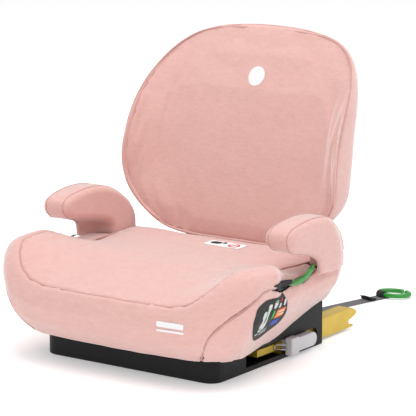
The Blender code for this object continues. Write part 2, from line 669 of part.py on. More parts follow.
def bodies_of_seat(materials):
    fabric = materials["fabric"]
    loop = list(loop_values())
    coarse = loop[::2]

    def shell_inset(extra):
        return lambda s, z: cover_thickness(s, z) + SHELL_ROOM + extra

    def shell_ring(share, extra):
        drop = PAD_THICKNESS + PAD_ROOM + extra
        return [wall_point(side, s, hem_height(s) + SHELL_START, crest_height(s), share,
                           shell_inset(extra), drop) for side, s in coarse]

    def top_ring(points, share, drop, inset=0.0):
        ring = []
        for side, s in points:
            x, y = crest(s, inset)
            lift = crest_height(s) - pan_height(y)
            y_in = mix(PAD_REAR - 0.150, y, share)
            z = pan_height(y_in) + lift * share ** 4.5 - drop
            ring.append(Vector((side * x * share, y_in, z)))
        return ring

    shares = (0.0, 0.15, 0.3, 0.5, 0.75, 1.0)
    tops = (0.85, 0.65, 0.35, 0.08)
    drop = PAD_THICKNESS + PAD_ROOM
    rings = [top_ring(coarse, share, drop) for share in reversed(tops)]
    rings += [shell_ring(share, 0.0) for share in reversed(shares)]
    rings += [shell_ring(share, SHELL_WALL) for share in shares]
    rings += [top_ring(coarse, share, drop + SHELL_WALL) for share in tops]
    shell = loft("seat_shell", rings, materials["black_plastic"])

    top_shares = (0.08, 0.4, 0.65, 0.85, 0.95, 1.0)
    pad_gap = GAP * 1.5
    rings = [top_ring(loop, share, 0.0, pad_gap) for share in top_shares]
    rings += [top_ring(loop, share, PAD_THICKNESS, pad_gap) for share in (1.0, *tops)]
    loft("seat_cushion", rings, fabric, 60)

    def notch_drop(s):
        return 0.009 * ease((s - SEAM_HIGH) / 0.05)

    rows = 5
    last = round(NOTCH_END * OUTLINE_STEPS)
    half = sorted([k / OUTLINE_STEPS for k in range(last + 1)] + SEAM_SAMPLES)
    values = [(-1, s) for s in reversed(half[1:])] + [(1, s) for s in half]
    outer = []
    inner = []
    for row in range(rows + 1):
        share = row / rows
        outer.append([wall_point(side, s, panel_edge(s) if s > SEAM_LOW else hem_height(s),
                                 crest_height(s), share, lambda s, z: 0.0, 0.0) for side, s in values])
        inner.append([wall_point(side, s, (panel_edge(s) if s > SEAM_LOW else hem_height(s)) - notch_drop(s),
                                 crest_height(s), share, cover_thickness, COVER_THICK) for side, s in values])
    slab("front_cover", outer, inner, fabric, 60)

    seam_gap = GAP * 1.5
    first = math.ceil(SEAM_LOW * OUTLINE_STEPS)
    columns = [k / OUTLINE_STEPS for k in range(first, round(REAR_ARC_END * OUTLINE_STEPS) + 1)]
    columns = sorted(columns + SEAM_SAMPLES)
    for name, side in SIDES:
        outer = []
        inner = []
        for row in range(rows + 1):
            share = row / rows
            outer_line = []
            inner_line = []
            for s in columns:
                low = hem_height(s)
                high = side_edge(s) - seam_gap - 0.004 * ease((SEAM_HIGH - s) / 0.05)
                z = mix(low, max(high, low + 0.004), share)
                x, y = outline(s, z)
                outer_line.append(Vector((side * x, y, z)))
                z = mix(low, max(high - notch_drop(s) * ease((SIDE_END - s) / (SIDE_END - NOTCH_END - 0.004)), low + 0.004), share)
                x, y = outline(s, z, cover_thickness(s, z))
                inner_line.append(Vector((side * x, y, z)))
            outer.append(outer_line)
            inner.append(inner_line)
        slab(f"side_cover_{name}", outer, inner, fabric, 60)

        for kind, (start, end, depth), material in (("guide_trim", BLACK_TRIM, "black_plastic"),
                                                    ("belt_guide", GREEN_TRIM, "green_plastic")):
            skins = []
            low_s = max(start, BLACK_TRIM[1] - 0.020) if kind == "belt_guide" else start
            high_s = GREEN_TRIM[0] if kind == "guide_trim" else end
            for inset in (0.001, 0.0045):
                skin = [[], []]
                for k in range(11):
                    s = mix(low_s + TRIM_FRONT_END, high_s - TRIM_REAR_END, k / 10)
                    slant = 0.9 * inset * ease((s - SEAM_HIGH) / 0.05)
                    heights = (between_samples(side_edge, s) + TRIM_ROOM, between_samples(panel_edge, s) - TRIM_ROOM)
                    for row, z in enumerate(heights):
                        x, y = outline(s, z - slant, inset)
                        skin[row].append(Vector((side * x, y, z - slant)))
                skins.append(skin)
            outer, inner = skins
            slab(f"{kind}_{name}", outer, inner, materials[material])


def armrest_outline(inset=0.0):
    """The armrest seen from the side as (y, z): over the top to the tip, back under, and its foot."""
    foot = ARM_ROOT_HEIGHT + GAP
    points = [(ARMREST_REAR, foot), (ARMREST_REAR - 0.001, 0.172), (0.120, 0.2005), (0.068, ARMREST_TOP - 0.0085),
              (0.020, ARMREST_TOP), (-0.030, ARMREST_TOP - 0.004), (-0.055, ARMREST_TOP - 0.013),
              (ARMREST_TIP, ARMREST_TOP - 0.029), (ARMREST_TIP + 0.014, ARMREST_UNDERSIDE + 0.001),
              (-0.020, ARMREST_UNDERSIDE - 0.0035), (0.030, ARMREST_UNDERSIDE - 0.0125),
              (ARMREST_FOOT - 0.011, ARMREST_UNDERSIDE - 0.020), (ARMREST_FOOT - 0.001, ARMREST_UNDERSIDE - 0.029),
              (ARMREST_FOOT, foot)]
    smooth = curve_through([(y, z, 0.0) for y, z in points], ARMREST_STEPS)
    result = []
    for k, point in enumerate(smooth):
        before = smooth[max(k - 1, 0)]
        after = smooth[min(k + 1, len(smooth) - 1)]
        along = (after - before).normalized()
        result.append((point.x - along.y * inset, point.y + along.x * inset))
    return result


def armrest_ring(side, across, inset):
    """The outline at a place across the armrest, its rear drawn in to the body's round corner."""
    centre = BODY_HALF_WIDTH - BODY_REAR_RADIUS
    reach = math.sqrt(max(BODY_REAR_RADIUS ** 2 - max(across - 0.0035 - centre, 0.0) ** 2, 0.0))
    rear = BODY_REAR - BODY_REAR_RADIUS + reach
    ring = []
    points = armrest_outline(inset)
    tip = min(range(len(points)), key=lambda k: points[k][0])
    foot = mix(ARMREST_FOOT, ARMREST_FOOT_OUTER, ease((across - ARMREST_INNER - 0.018) / 0.028))
    squeeze = (foot - ARMREST_TIP) / (ARMREST_FOOT - ARMREST_TIP)
    for k, (y, z) in enumerate(points):
        if k > tip:
            y = ARMREST_TIP + (y - ARMREST_TIP) * squeeze
        if y > ARMREST_BEND:
            y = ARMREST_BEND + (y - ARMREST_BEND) * (rear - ARMREST_BEND) / (ARMREST_REAR - ARMREST_BEND)
        ring.append(Vector((side * across, y, z)))
    for end in (ring[0], ring[-1]):
        end.z = ARM_ROOT_HEIGHT + GAP
    return ring


def bodies_of_armrests(materials):
    core_middle = ARMREST_INNER + 0.0125
    for name, side in SIDES:
        rings = []
        for share in (-1.0, -0.94, -0.76, -0.4, 0.0, 0.4, 0.76, 0.94, 1.0):
            edge = max(abs(share) * ARMREST_WIDTH / 2 - (ARMREST_WIDTH / 2 - ARMREST_EDGE), 0.0) / ARMREST_EDGE
            inset = ARMREST_EDGE * 0.75 * (1 - math.sqrt(1 - edge * edge))
            across = (ARMREST_INNER + ARMREST_OUTER) / 2 + share * ARMREST_WIDTH / 2
            rings.append(armrest_ring(side, across, inset))
        pad = loft(f"armrest_{name}", rings, materials["fabric"], 60)

        for kind, grow in (("core", 0.0), ("hollow_tool", GAP)):
            half = CORE_THICKNESS / 2 + grow
            outline_points = armrest_outline(ARMREST_PAD - grow)
            inner = [(min(y, 0.104 + grow), z) for y, z in outline_points if z > ARM_ROOT_HEIGHT + 0.012]
            stem_low = ARM_ROOT_HEIGHT - CORE_STEM - grow
            stem_high = ARM_ROOT_HEIGHT + 0.008
            inner = [(STEM_REAR + grow, stem_low), (STEM_REAR + grow, stem_high), *inner,
                     (STEM_FRONT - grow, stem_high), (STEM_FRONT - grow, stem_low)]
            x_low, x_high = sorted((side * (core_middle - half), side * (core_middle + half)))
            piece = extrude_x(f"arm_{kind}_{name}", inner, x_low, x_high,
                              materials["black_plastic"] if kind == "core" else None)
            if kind == "hollow_tool":
                combine(pad, piece, "DIFFERENCE")
        room = box(f"stem_room_tool_{name}", *low_high(side, core_middle - CORE_THICKNESS / 2 - GAP,
                   core_middle + CORE_THICKNESS / 2 + GAP, STEM_FRONT - GAP, STEM_REAR + GAP,
                   ARM_ROOT_HEIGHT - CORE_STEM - GAP, ARM_ROOT_HEIGHT + 0.01), None)
        for neighbour in ("seat_shell", "front_cover", f"side_cover_{name}"):
            combine(bpy.data.objects[neighbour], room, "DIFFERENCE")


# ---------------------------------------------------------------- backrest
def back_outline(count):
    """The backrest's front seam: half width, depth and height, all the way round."""
    half = [(0.0, BACK_FOOT + 0.001, BACK_BOTTOM), (0.100, BACK_FOOT, BACK_BOTTOM + 0.001),
            (0.148, 0.118, 0.170), (0.186, 0.116, 0.206), (0.203, 0.114, 0.233),
            (BACK_HALF_WIDTH, 0.109, 0.265), (0.2055, 0.114, 0.300), (0.202, 0.136, 0.352),
            (0.194, 0.172, 0.400), (0.172, 0.213, BACK_TOP - 0.045), (0.138, 0.2325, BACK_TOP - 0.019),
            (0.083, 0.243, BACK_TOP - 0.005)]
    top = [(0.0, 0.246, BACK_TOP)]
    other = [(-x, y, z) for x, y, z in reversed(half[1:])]
    return curve_through(half + top + other, count, closed=True)


def back_middle(z):
    """The front face's depth along the middle."""
    return BACK_FOOT + (z - BACK_BOTTOM) * BACK_SLOPE


def back_rear(z):
    """The depth of the rear edge of the side gusset."""
    return 0.168 + 0.098 * (max(z - 0.20, 0.0) / 0.289) ** 2.3


BACK_CENTRE_HEIGHT = 0.310


def back_front_ring(seam, share, drop):
    """Points of the front face at a share of the way out to the seam, moved back by a drop."""
    ring = []
    for edge in seam:
        x = edge.x * share
        z = mix(BACK_CENTRE_HEIGHT, edge.z, share)
        bolster = (edge.y - back_middle(edge.z)) * ease((share - 0.66) / 0.36)
        ring.append(Vector((x, back_middle(z) + bolster + drop, z)))
    return ring


def back_pad(share):
    """The pad's thickness, which tapers towards its rim."""
    return BACK_PAD * (1 - 0.55 * ease((share - 0.60) / 0.36))


def back_rear_ring(seam, share, drop):
    ring = []
    for edge in seam:
        z = mix(BACK_CENTRE_HEIGHT, edge.z, share)
        ring.append(Vector((edge.x * share, back_rear(z) + BACK_REAR_BULGE * (1 - share * share) - drop, z)))
    return ring


def back_wrap_ring(seam, y_of, inset):
    """Points of the gusset at a depth, with the outline drawn in by an inset."""
    ring = []
    for edge in seam:
        away = Vector((edge.x, 0.0, edge.z - BACK_CENTRE_HEIGHT))
        away = away * (1 - inset / away.length)
        ring.append(Vector((away.x, y_of(edge), BACK_CENTRE_HEIGHT + away.z)))
    return ring


def bodies_of_backrest(materials):
    fabric = materials["fabric"]
    seam = back_outline(38)

    shell_shares = (0.08, 0.4, 0.64, 0.74, 0.84, 0.92)
    front_shares = (0.08, 0.3, 0.5, 0.64, 0.74, 0.84, 0.92, BACK_RIM)
    rings = [back_front_ring(seam, share, 0.0) for share in front_shares]
    rings += [back_front_ring(seam, share, back_pad(share)) for share in (BACK_RIM, *reversed(shell_shares))]
    loft("back_cushion", rings, fabric, 60)

    shell_rear = BACK_PAD + BACK_ROOM + BACK_SHELL
    rings = [back_front_ring(seam, share, back_pad(share) + BACK_ROOM) for share in shell_shares]
    rings += [back_front_ring(seam, share, back_pad(share) + BACK_ROOM + BACK_SHELL) for share in reversed(shell_shares)]
    loft("back_shell", rings, materials["black_plastic"])

    rear_shares = (0.08, 0.35, 0.6, 0.78, 0.9)

    def front_y(edge):
        return edge.y

    def rear_y(edge):
        return max(back_rear(edge.z), edge.y + BACK_SHOULDER + 0.006)

    def shoulder_y(edge):
        return rear_y(edge) - BACK_SHOULDER

    def inner_rear_y(edge):
        return rear_y(edge) - BACK_WRAP - 0.001

    def inner_shoulder_y(edge):
        return shoulder_y(edge) - 0.002

    rings = [back_rear_ring(seam, share, 0.0) for share in rear_shares]
    rings += [back_wrap_ring(seam, rear_y, BACK_SHOULDER), back_wrap_ring(seam, shoulder_y, 0.0)]
    rings += [back_wrap_ring(seam, front_y, 0.0), back_wrap_ring(seam, front_y, BACK_WRAP)]
    rings += [back_wrap_ring(seam, inner_shoulder_y, BACK_WRAP)]
    rings += [back_wrap_ring(seam, inner_rear_y, BACK_SHOULDER + 0.001)]
    rings += [back_rear_ring(seam, share, BACK_WRAP) for share in reversed(rear_shares)]
    cover = loft("back_cover", rings, fabric, 60)

    slope = math.atan(BACK_SLOPE)
    rear_face = BACK_FOOT + shell_rear + GAP * 2
    pin_z = HINGE_HEIGHT
    eye_y = rear_face + (pin_z - BACK_BOTTOM) * BACK_SLOPE + EYE_RADIUS * math.cos(slope)
    leaf_top = BACK_BOTTOM + LEAF_REACH
    up = Vector((math.sin(slope), math.cos(slope)))
    out = Vector((math.cos(slope), -math.sin(slope)))
    front_low = Vector((eye_y, pin_z)) - out * EYE_RADIUS
    front_high = front_low + up * (leaf_top - pin_z) / math.cos(slope)
    start = 180 - math.degrees(slope)
    leaf_outline = [tuple(front_high), *arc((eye_y, pin_z), EYE_RADIUS, start, start + 250, 12)]
    leaf_outline += [tuple(front_low + out * LEAF_THICKNESS + up * EYE_RADIUS * 1.25),
                     tuple(front_high + out * LEAF_THICKNESS)]
    inner = LEAF_WIDTH / 2 + EAR_ROOM
    outer = inner + EAR_THICKNESS
    ear_radius = EYE_RADIUS + EAR_ROOM
    foot = LID_TOP + GAP
    foot_front = BODY_REAR + 0.0025
    foot_rear = TRAY_REAR - LID_LEDGE
    ear_outline = [(foot_front, foot), (foot_rear, foot), (foot_rear, pin_z - EYE_RADIUS - 0.012)]
    ear_outline += arc((eye_y, pin_z), ear_radius, -50, 120, 10)
    ear_outline += [(foot_front, pin_z - 0.002)]
    for name, side in SIDES:
        centre = side * HINGE_OFFSET
        leaf = extrude_x(f"hinge_leaf_{name}", leaf_outline, centre - LEAF_WIDTH / 2,
                         centre + LEAF_WIDTH / 2, materials["black_plastic"])
        bore_reach = outer + 0.010
        bore = rod(f"eye_tool_{name}", (centre - bore_reach, eye_y, pin_z), (centre + bore_reach, eye_y, pin_z),
                   HINGE_PIN_RADIUS + GAP, None, 20)
        combine(leaf, bore, "DIFFERENCE")
        slot = box(f"cover_slot_tool_{name}", (centre - LEAF_WIDTH / 2 - COVER_SLOT_ROOM, 0.135, BACK_BOTTOM - 0.02),
                   (centre + LEAF_WIDTH / 2 + COVER_SLOT_ROOM, 0.166, BACK_BOTTOM + 0.018), None)
        combine(cover, slot, "DIFFERENCE")

        bracket = extrude_x(f"hinge_bracket_{name}", ear_outline, centre - outer, centre + outer,
                            materials["black_plastic"])
        between = box(f"bracket_gap_tool_{name}", (centre - inner, foot_front + 0.003, foot + 0.004),
                      (centre + inner, eye_y + 0.03, pin_z + 0.03), None)
        combine(bracket, between, "DIFFERENCE")
        top_cut = box(f"bracket_top_tool_{name}", (centre - inner, foot_front - 0.01, pin_z - 0.014),
                      (centre + inner, foot_front + 0.01, pin_z + 0.03), None)
        combine(bracket, top_cut, "DIFFERENCE")
        combine(bracket, bore, "DIFFERENCE")
        room = box(f"bracket_room_tool_{name}", (centre - outer - 0.0005, foot_front - 0.0005, TRAY_HEIGHT),
                   (centre + outer + 0.0005, TRAY_REAR + 0.02, 0.115), None)
        combine(bpy.data.objects["seat_shell"], room, "DIFFERENCE")
        rod(f"hinge_pin_{name}", (centre - outer - 0.0025, eye_y, pin_z), (centre + outer + 0.0025, eye_y, pin_z),
            HINGE_PIN_RADIUS, materials["steel"], 20, 0.006, 0.0022)


# ---------------------------------------------------------------- strap, slider and ring
STRAP_ROUTE = [(0.0, 0.155, 0.0460), (0.0010, 0.163, 0.0445), (0.0035, 0.174, 0.0400), (0.0075, 0.188, 0.0300),
               (0.0130, 0.203, 0.0190), (0.0190, 0.219, 0.0100), (0.0250, 0.236, 0.0045), (0.0312, 0.256, 0.0017),
               (0.0375, 0.280, 0.0010), (0.0440, 0.310, 0.0010), (0.0515, 0.345, 0.0010), (0.0595, 0.380, 0.0010),
               (0.0670, 0.410, 0.0010), (0.0730, 0.433, 0.0010), (0.0780, 0.451, 0.0010), (0.0825, 0.466, 0.0010),
               (0.0850, 0.474, 0.0010)]


def bodies_of_strap(materials):
    route = curve_through(STRAP_ROUTE, 41)
    rings = []
    for k, point in enumerate(route):
        along = (route[min(k + 1, len(route) - 1)] - route[max(k - 1, 0)]).normalized()
        across = along.cross(Vector((0, 0, 1))).normalized() * STRAP_WIDTH / 2
        up = across.cross(along).normalized() * STRAP_THICKNESS / 2
        rings.append([point - across - up, point + across - up, point + across + up, point - across + up])
    loft("tether_strap", rings, materials["webbing"], 30)

    end = Vector(STRAP_ROUTE[-1])
    before = Vector(STRAP_ROUTE[-3])
    along = Vector((end.x - before.x, end.y - before.y, 0.0)).normalized()
    across = Vector((along.y, -along.x, 0.0))
    strap_top = end.z + STRAP_THICKNESS / 2

    def place(base, distance, height, sideways=0.0):
        """A point ahead of a base point on the floor, along the strap."""
        return Vector((base.x, base.y, 0.0)) + along * distance + across * sideways + Vector((0, 0, height))

    def strap_piece(name, base, section, half_width, material):
        """A section of (along, height) points, drawn out across the strap."""
        rings = [[place(base, d, h, side * half_width) for d, h in section] for side in (-1, 1)]
        return loft(name, rings, material, 40)

    slider_at = Vector(STRAP_ROUTE[13])
    bar = strap_top + GAP
    section = [(-0.005, bar), (0.006, bar), (0.006, bar + 0.0026), (0.002, bar + 0.0040),
               (-0.003, bar + 0.0042), (-0.0065, bar + 0.0060), (-0.0075, bar + 0.0050), (-0.0047, bar + 0.0028)]
    strap_piece("strap_slider", slider_at, section, STRAP_WIDTH / 2 + 0.001, materials["black_plastic"])

    # The ring lies flat on the strap's end, and a sewn loop of webbing goes over its near side.
    ring_height = strap_top + GAP + RING_TUBE
    ring_centre = end + along * 0.0085 + across * 0.0083
    near = RING_WIDE / 2
    long = RING_LONG / 2
    turn = math.radians(RING_TURN)

    def on_ring(angle, out=0.0, height=ring_height):
        """A point beside the ring's centre line, at an angle round it."""
        x = (long + out) * math.cos(angle)
        y = (near + out) * math.sin(angle)
        return Vector((ring_centre.x + x * math.cos(turn) - y * math.sin(turn),
                       ring_centre.y + x * math.sin(turn) + y * math.cos(turn), height))

    points = []
    for k in range(33):
        points.append(on_ring(math.radians(RING_GAP_AT + RING_GAP / 2 + (360 - RING_GAP) * k / 32)))
    tube("ring_hook", points, RING_TUBE, materials["green_plastic"])

    inner_radius = RING_TUBE + 2 * GAP
    outer_radius = inner_radius + LOOP_THICKNESS
    floor = strap_top + GAP
    arch = [(-outer_radius, floor)] + arc((0.0, ring_height), outer_radius, 180, 0, 9) + [(outer_radius, floor)]
    arch += [(inner_radius, floor)] + arc((0.0, ring_height), inner_radius, 0, 180, 9) + [(-inner_radius, floor)]
    rings = []
    for k in range(7):
        angle = math.radians(mix(LOOP_START, LOOP_END, k / 6))
        rings.append([on_ring(angle, out, height) for out, height in arch])
    loft("strap_loop", rings, materials["black_webbing"], 40)


clear_scene()
MATERIALS = {
    "fabric": make_material("pink_fabric", (0.78, 0.53, 0.49), 0.9),
    "black_plastic": make_material("black_plastic", (0.02, 0.02, 0.02), 0.5),
    "green_plastic": make_material("green_plastic", (0.03, 0.40, 0.03), 0.4),
    "grip_plastic": make_material("grey_plastic", (0.55, 0.55, 0.57), 0.4),
    "zinc": make_material("yellow_zinc", (0.72, 0.50, 0.08), 0.35, 0.9),
    "steel": make_material("steel", (0.55, 0.55, 0.57), 0.3, 1.0),
    "webbing": make_material("grey_webbing", (0.11, 0.11, 0.12), 0.8),
    "black_webbing": make_material("black_webbing", (0.02, 0.02, 0.02), 0.85),
}
bodies_of_base(MATERIALS)
bodies_of_carriage(MATERIALS)
bodies_of_seat(MATERIALS)
bodies_of_armrests(MATERIALS)
bodies_of_backrest(MATERIALS)
bodies_of_strap(MATERIALS)
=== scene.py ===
import json
import math

import bmesh
import bpy
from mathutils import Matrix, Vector, noise
from mathutils.bvhtree import BVHTree


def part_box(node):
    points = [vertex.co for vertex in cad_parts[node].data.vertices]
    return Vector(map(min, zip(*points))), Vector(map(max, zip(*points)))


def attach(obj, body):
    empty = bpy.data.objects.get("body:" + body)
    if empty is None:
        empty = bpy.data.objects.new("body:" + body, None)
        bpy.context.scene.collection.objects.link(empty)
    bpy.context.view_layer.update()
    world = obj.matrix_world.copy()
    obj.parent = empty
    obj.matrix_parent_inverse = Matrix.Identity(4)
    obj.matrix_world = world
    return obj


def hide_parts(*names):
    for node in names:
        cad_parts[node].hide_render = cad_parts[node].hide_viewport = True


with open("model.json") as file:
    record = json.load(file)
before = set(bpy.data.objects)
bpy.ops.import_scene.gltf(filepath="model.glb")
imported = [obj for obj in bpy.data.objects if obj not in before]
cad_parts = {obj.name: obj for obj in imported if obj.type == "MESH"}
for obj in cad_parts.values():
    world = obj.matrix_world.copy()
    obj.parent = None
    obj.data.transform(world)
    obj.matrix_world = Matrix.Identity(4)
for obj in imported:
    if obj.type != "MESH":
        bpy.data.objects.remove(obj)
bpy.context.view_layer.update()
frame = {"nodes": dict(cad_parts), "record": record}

NODES = frame["nodes"]

# ---------------------------------------------------------------- camera
# A long lens from a little above the seat, off its front left corner, with no roll.
SENSOR = 36.0                          # mm
LENS = 207.7                           # mm
CAMERA_AT = (2.1346, -2.9575, 0.9798)
LOOKS_ALONG = (-0.5650, 0.7998, -0.2028)
camera_data = bpy.data.cameras.new("camera")
camera_data.sensor_width = SENSOR
camera_data.lens = LENS
camera = bpy.data.objects.new("camera", camera_data)
camera.location = CAMERA_AT
camera.rotation_euler = Vector(LOOKS_ALONG).to_track_quat("-Z", "Y").to_euler()
bpy.context.scene.collection.objects.link(camera)
bpy.context.scene.camera = camera


# ---------------------------------------------------------------- tether strap
# 25 mm polyester webbing that comes out of the anchor in the base's rear wall, drops to the floor
# and lies there. Woven ribs run across it, and it is sewn round the ring as a loop.
class Value:
    """A shader value. Sums, differences and products of values add Math nodes."""

    def __init__(self, paint, socket):
        self.paint = paint
        self.socket = socket

    def math(self, operation, first, second):
        return self.paint.node("ShaderNodeMath", {"operation": operation}, {0: first, 1: second})

    def __add__(self, other):
        return self.math("ADD", self, other)

    def __radd__(self, other):
        return self.math("ADD", other, self)

    def __rsub__(self, other):
        return self.math("SUBTRACT", other, self)

    def __mul__(self, other):
        return self.math("MULTIPLY", self, other)


class Paint:
    """One material: its nodes are added by node(), and set() fills the shader's own sockets."""

    def __init__(self, name, roughness, metallic=0.0, **fixed):
        self.material = bpy.data.materials.new(name)
        self.material.use_nodes = True
        self.tree = self.material.node_tree
        self.shader = self.tree.nodes["Principled BSDF"]
        self.set("Roughness", roughness)
        self.set("Metallic", metallic)
        for socket, value in fixed.items():
            self.set(socket.replace("_", " "), value)
        self.place = self.node("ShaderNodeTexCoord", output="Object")

    def node(self, kind, settings=None, inputs=None, output=0):
        node = self.tree.nodes.new(kind)
        for key, value in (settings or {}).items():
            setattr(node, key, value)
        for key, value in (inputs or {}).items():
            self.fill(node.inputs[key], value)
        return Value(self, node.outputs[output])

    def fill(self, socket, value):
        if isinstance(value, Value):
            self.tree.links.new(value.socket, socket)
        else:
            socket.default_value = value

    def set(self, socket, value):
        self.fill(self.shader.inputs[socket], value)

    def stretched(self, scale):
        return self.node("ShaderNodeMapping", {}, {"Vector": self.place, "Scale": scale})

    def noise(self, scale, detail=2.0, place=None):
        inputs = {"Vector": place or self.place, "Scale": scale, "Detail": detail}
        return self.node("ShaderNodeTexNoise", {}, inputs)

    def blend(self, share, first, second):
        """A colour between two colours. The Mix node's colour sockets are 6, 7 and output 2."""
        return self.node("ShaderNodeMix", {"data_type": "RGBA"}, {0: share, 6: first, 7: second}, output=2)

    def spread(self, value, low, high):
        """0 where a value is below low, 1 above high, and even in between."""
        return self.node("ShaderNodeMapRange", {}, {"Value": value, 1: low, 2: high, 3: 0.0, 4: 1.0})

    def bump(self, height, distance, strength=1.0):
        inputs = {"Height": height, "Distance": distance, "Strength": strength}
        self.set("Normal", self.node("ShaderNodeBump", {}, inputs))


def webbing_material(name, dark, light):
    """Woven tape: ribs across it, lanes along it, and a little fuzz."""
    paint = Paint(name, 0.75, Sheen_Weight=0.15)
    along = paint.node("ShaderNodeUVMap", {"uv_map": "strap"})
    ribs = paint.node("ShaderNodeTexWave", {"bands_direction": "Y"},
                      {"Vector": along, "Scale": 190.0, "Distortion": 0.6, "Detail": 1.0}, output=1)
    lanes = paint.node("ShaderNodeTexWave", {"bands_direction": "X"},
                       {"Vector": along, "Scale": 130.0, "Distortion": 0.3, "Detail": 1.0}, output=1)
    height = ribs * 0.6 + lanes * 0.4
    fuzz = paint.noise(1500.0)
    paint.set("Base Color", paint.blend(height * 0.6 + fuzz * 0.4, (*dark, 1), (*light, 1)))
    paint.bump(height + fuzz * 0.3, 0.0003)
    return paint.material


def mesh_piece(name, build, material, smooth_angle=40):
    """A bmesh made into a piece, with its normals out and its doubles merged."""
    bmesh.ops.remove_doubles(build, verts=build.verts, dist=1e-6)
    bmesh.ops.recalc_face_normals(build, faces=build.faces)
    mesh = bpy.data.meshes.new(name)
    build.to_mesh(mesh)
    build.free()
    mesh.shade_smooth()
    mesh.set_sharp_from_angle(angle=math.radians(smooth_angle))
    mesh.materials.append(material)
    piece = bpy.data.objects.new(name, mesh)
    bpy.context.scene.collection.objects.link(piece)
    return piece


def curve_through(points, count, closed=False):
    """Points of a smooth curve through the given points."""
    points = [Vector(point) for point in points]
    total = len(points)
    spans = total if closed else total - 1
    result = []
    for k in range(count):
        place = k * spans / (count if closed else count - 1)
        span = min(int(place), spans - 1)
        share = place - span
        if closed:
            a, b, c, d = (points[(span + shift) % total] for shift in (-1, 0, 1, 2))
        else:
            b, c = points[span], points[span + 1]
            a = points[span - 1] if span else b + (b - c)
            d = points[span + 2] if span + 2 < total else c + (c - b)
        result.append(0.5 * (2 * b + (c - a) * share + (2 * a - 5 * b + 4 * c - d) * share ** 2
                             + (3 * b - a - 3 * c + d) * share ** 3))
    return result


def length_of(points):
    return sum((b - a).length for a, b in zip(points, points[1:]))


STRAP_ROUTE = [
    (0.0000, 0.155, 0.0460), (0.0010, 0.163, 0.0445), (0.0035, 0.174, 0.0400), (0.0075, 0.188, 0.0300),
    (0.0130, 0.203, 0.0190), (0.0190, 0.219, 0.0100), (0.0250, 0.236, 0.0045), (0.0312, 0.256, 0.0017),
    (0.0375, 0.280, 0.0010), (0.0440, 0.310, 0.0010), (0.0515, 0.345, 0.0010), (0.0595, 0.380, 0.0010),
    (0.0670, 0.410, 0.0010), (0.0730, 0.433, 0.0010), (0.0780, 0.451, 0.0010), (0.0825, 0.466, 0.0010),
    (0.0850, 0.474, 0.0010),
]
STRAP_WIDTH = 0.025
STRAP_THICKNESS = 0.0014
ROUTE_POINTS = 97
route = curve_through(STRAP_ROUTE, ROUTE_POINTS)
half = STRAP_THICKNESS / 2
# The tape's section, in shares of its width and of half its thickness, with thinner edges.
SECTION = [(-0.5, -0.4), (-0.46, -1.0), (0.0, -1.0), (0.46, -1.0), (0.5, -0.4),
           (0.5, 0.4), (0.46, 1.0), (0.30, 1.0), (0.0, 0.8), (-0.30, 1.0), (-0.46, 1.0), (-0.5, 0.4)]
build = bmesh.new()
uv = build.loops.layers.uv.new("strap")
rings = []
for k, point in enumerate(route):
    ahead = (route[min(k + 1, len(route) - 1)] - route[max(k - 1, 0)]).normalized()
    across = ahead.cross(Vector((0, 0, 1))).normalized()
    up = across.cross(ahead).normalized()
    rings.append([build.verts.new(point + across * STRAP_WIDTH * a + up * half * b) for a, b in SECTION])
along = 0.0
for k in range(len(rings) - 1):
    step = (route[k + 1] - route[k]).length
    for j in range(len(SECTION)):
        after = (j + 1) % len(SECTION)
        face = build.faces.new((rings[k][j], rings[k][after], rings[k + 1][after], rings[k + 1][j]))
        corners = ((SECTION[j][0], along), (SECTION[after][0], along),
                   (SECTION[after][0], along + step), (SECTION[j][0], along + step))
        for loop, (u, v) in zip(face.loops, corners):
            loop[uv].uv = (u * STRAP_WIDTH, v)
    along += step
build.faces.new(rings[0])
build.faces.new(rings[-1])
STRAP_DARK = (0.055, 0.055, 0.060)
STRAP_LIGHT = (0.15, 0.15, 0.16)
grey_webbing = webbing_material("grey_webbing", STRAP_DARK, STRAP_LIGHT)
strap = mesh_piece("tether_webbing", build, grey_webbing, 60)
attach(strap, "seat")
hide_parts("tether_strap")


# ---------------------------------------------------------------- ring and its loop
# An open ring of green plastic, round in section, which hooks the strap up when it isn't in use.
# A short loop of black webbing is sewn over its near side.
def plastic_material(name, colour, roughness, grain=0.00008, coat=0.0, shine=0.5):
    """Moulded plastic with a fine grain and a slight cloudiness."""
    paint = Paint(name, roughness, Coat_Weight=coat, Specular_IOR_Level=shine)
    cloud = paint.noise(14.0)
    fine = paint.noise(1800.0, 3.0)
    lighter = tuple(min(channel * 1.25 + 0.004, 1.0) for channel in colour)
    paint.set("Base Color", paint.blend(cloud * 0.6 + fine * 0.25, (*colour, 1), (*lighter, 1)))
    paint.set("Roughness", roughness - 0.06 + fine * 0.12)
    paint.bump(fine + paint.noise(600.0) * 0.5, grain)
    return paint.material


def tube_piece(name, points, radius, material, closed=False, sides=5):
    """A round cord along points, as a mesh with closed ends."""
    data = bpy.data.curves.new(name, "CURVE")
    data.dimensions = "3D"
    data.bevel_depth = radius
    data.bevel_resolution = sides
    data.use_fill_caps = True
    line = data.splines.new("POLY")
    line.points.add(len(points) - 1)
    for slot, point in zip(line.points, points):
        slot.co = (*point, 1.0)
    line.use_cyclic_u = closed
    source = bpy.data.objects.new(name, data)
    bpy.context.scene.collection.objects.link(source)
    bpy.context.view_layer.update()
    mesh = bpy.data.meshes.new_from_object(source.evaluated_get(bpy.context.evaluated_depsgraph_get()))
    bpy.data.objects.remove(source, do_unlink=True)
    build = bmesh.new()
    build.from_mesh(mesh)
    return mesh_piece(name, build, material, 60)


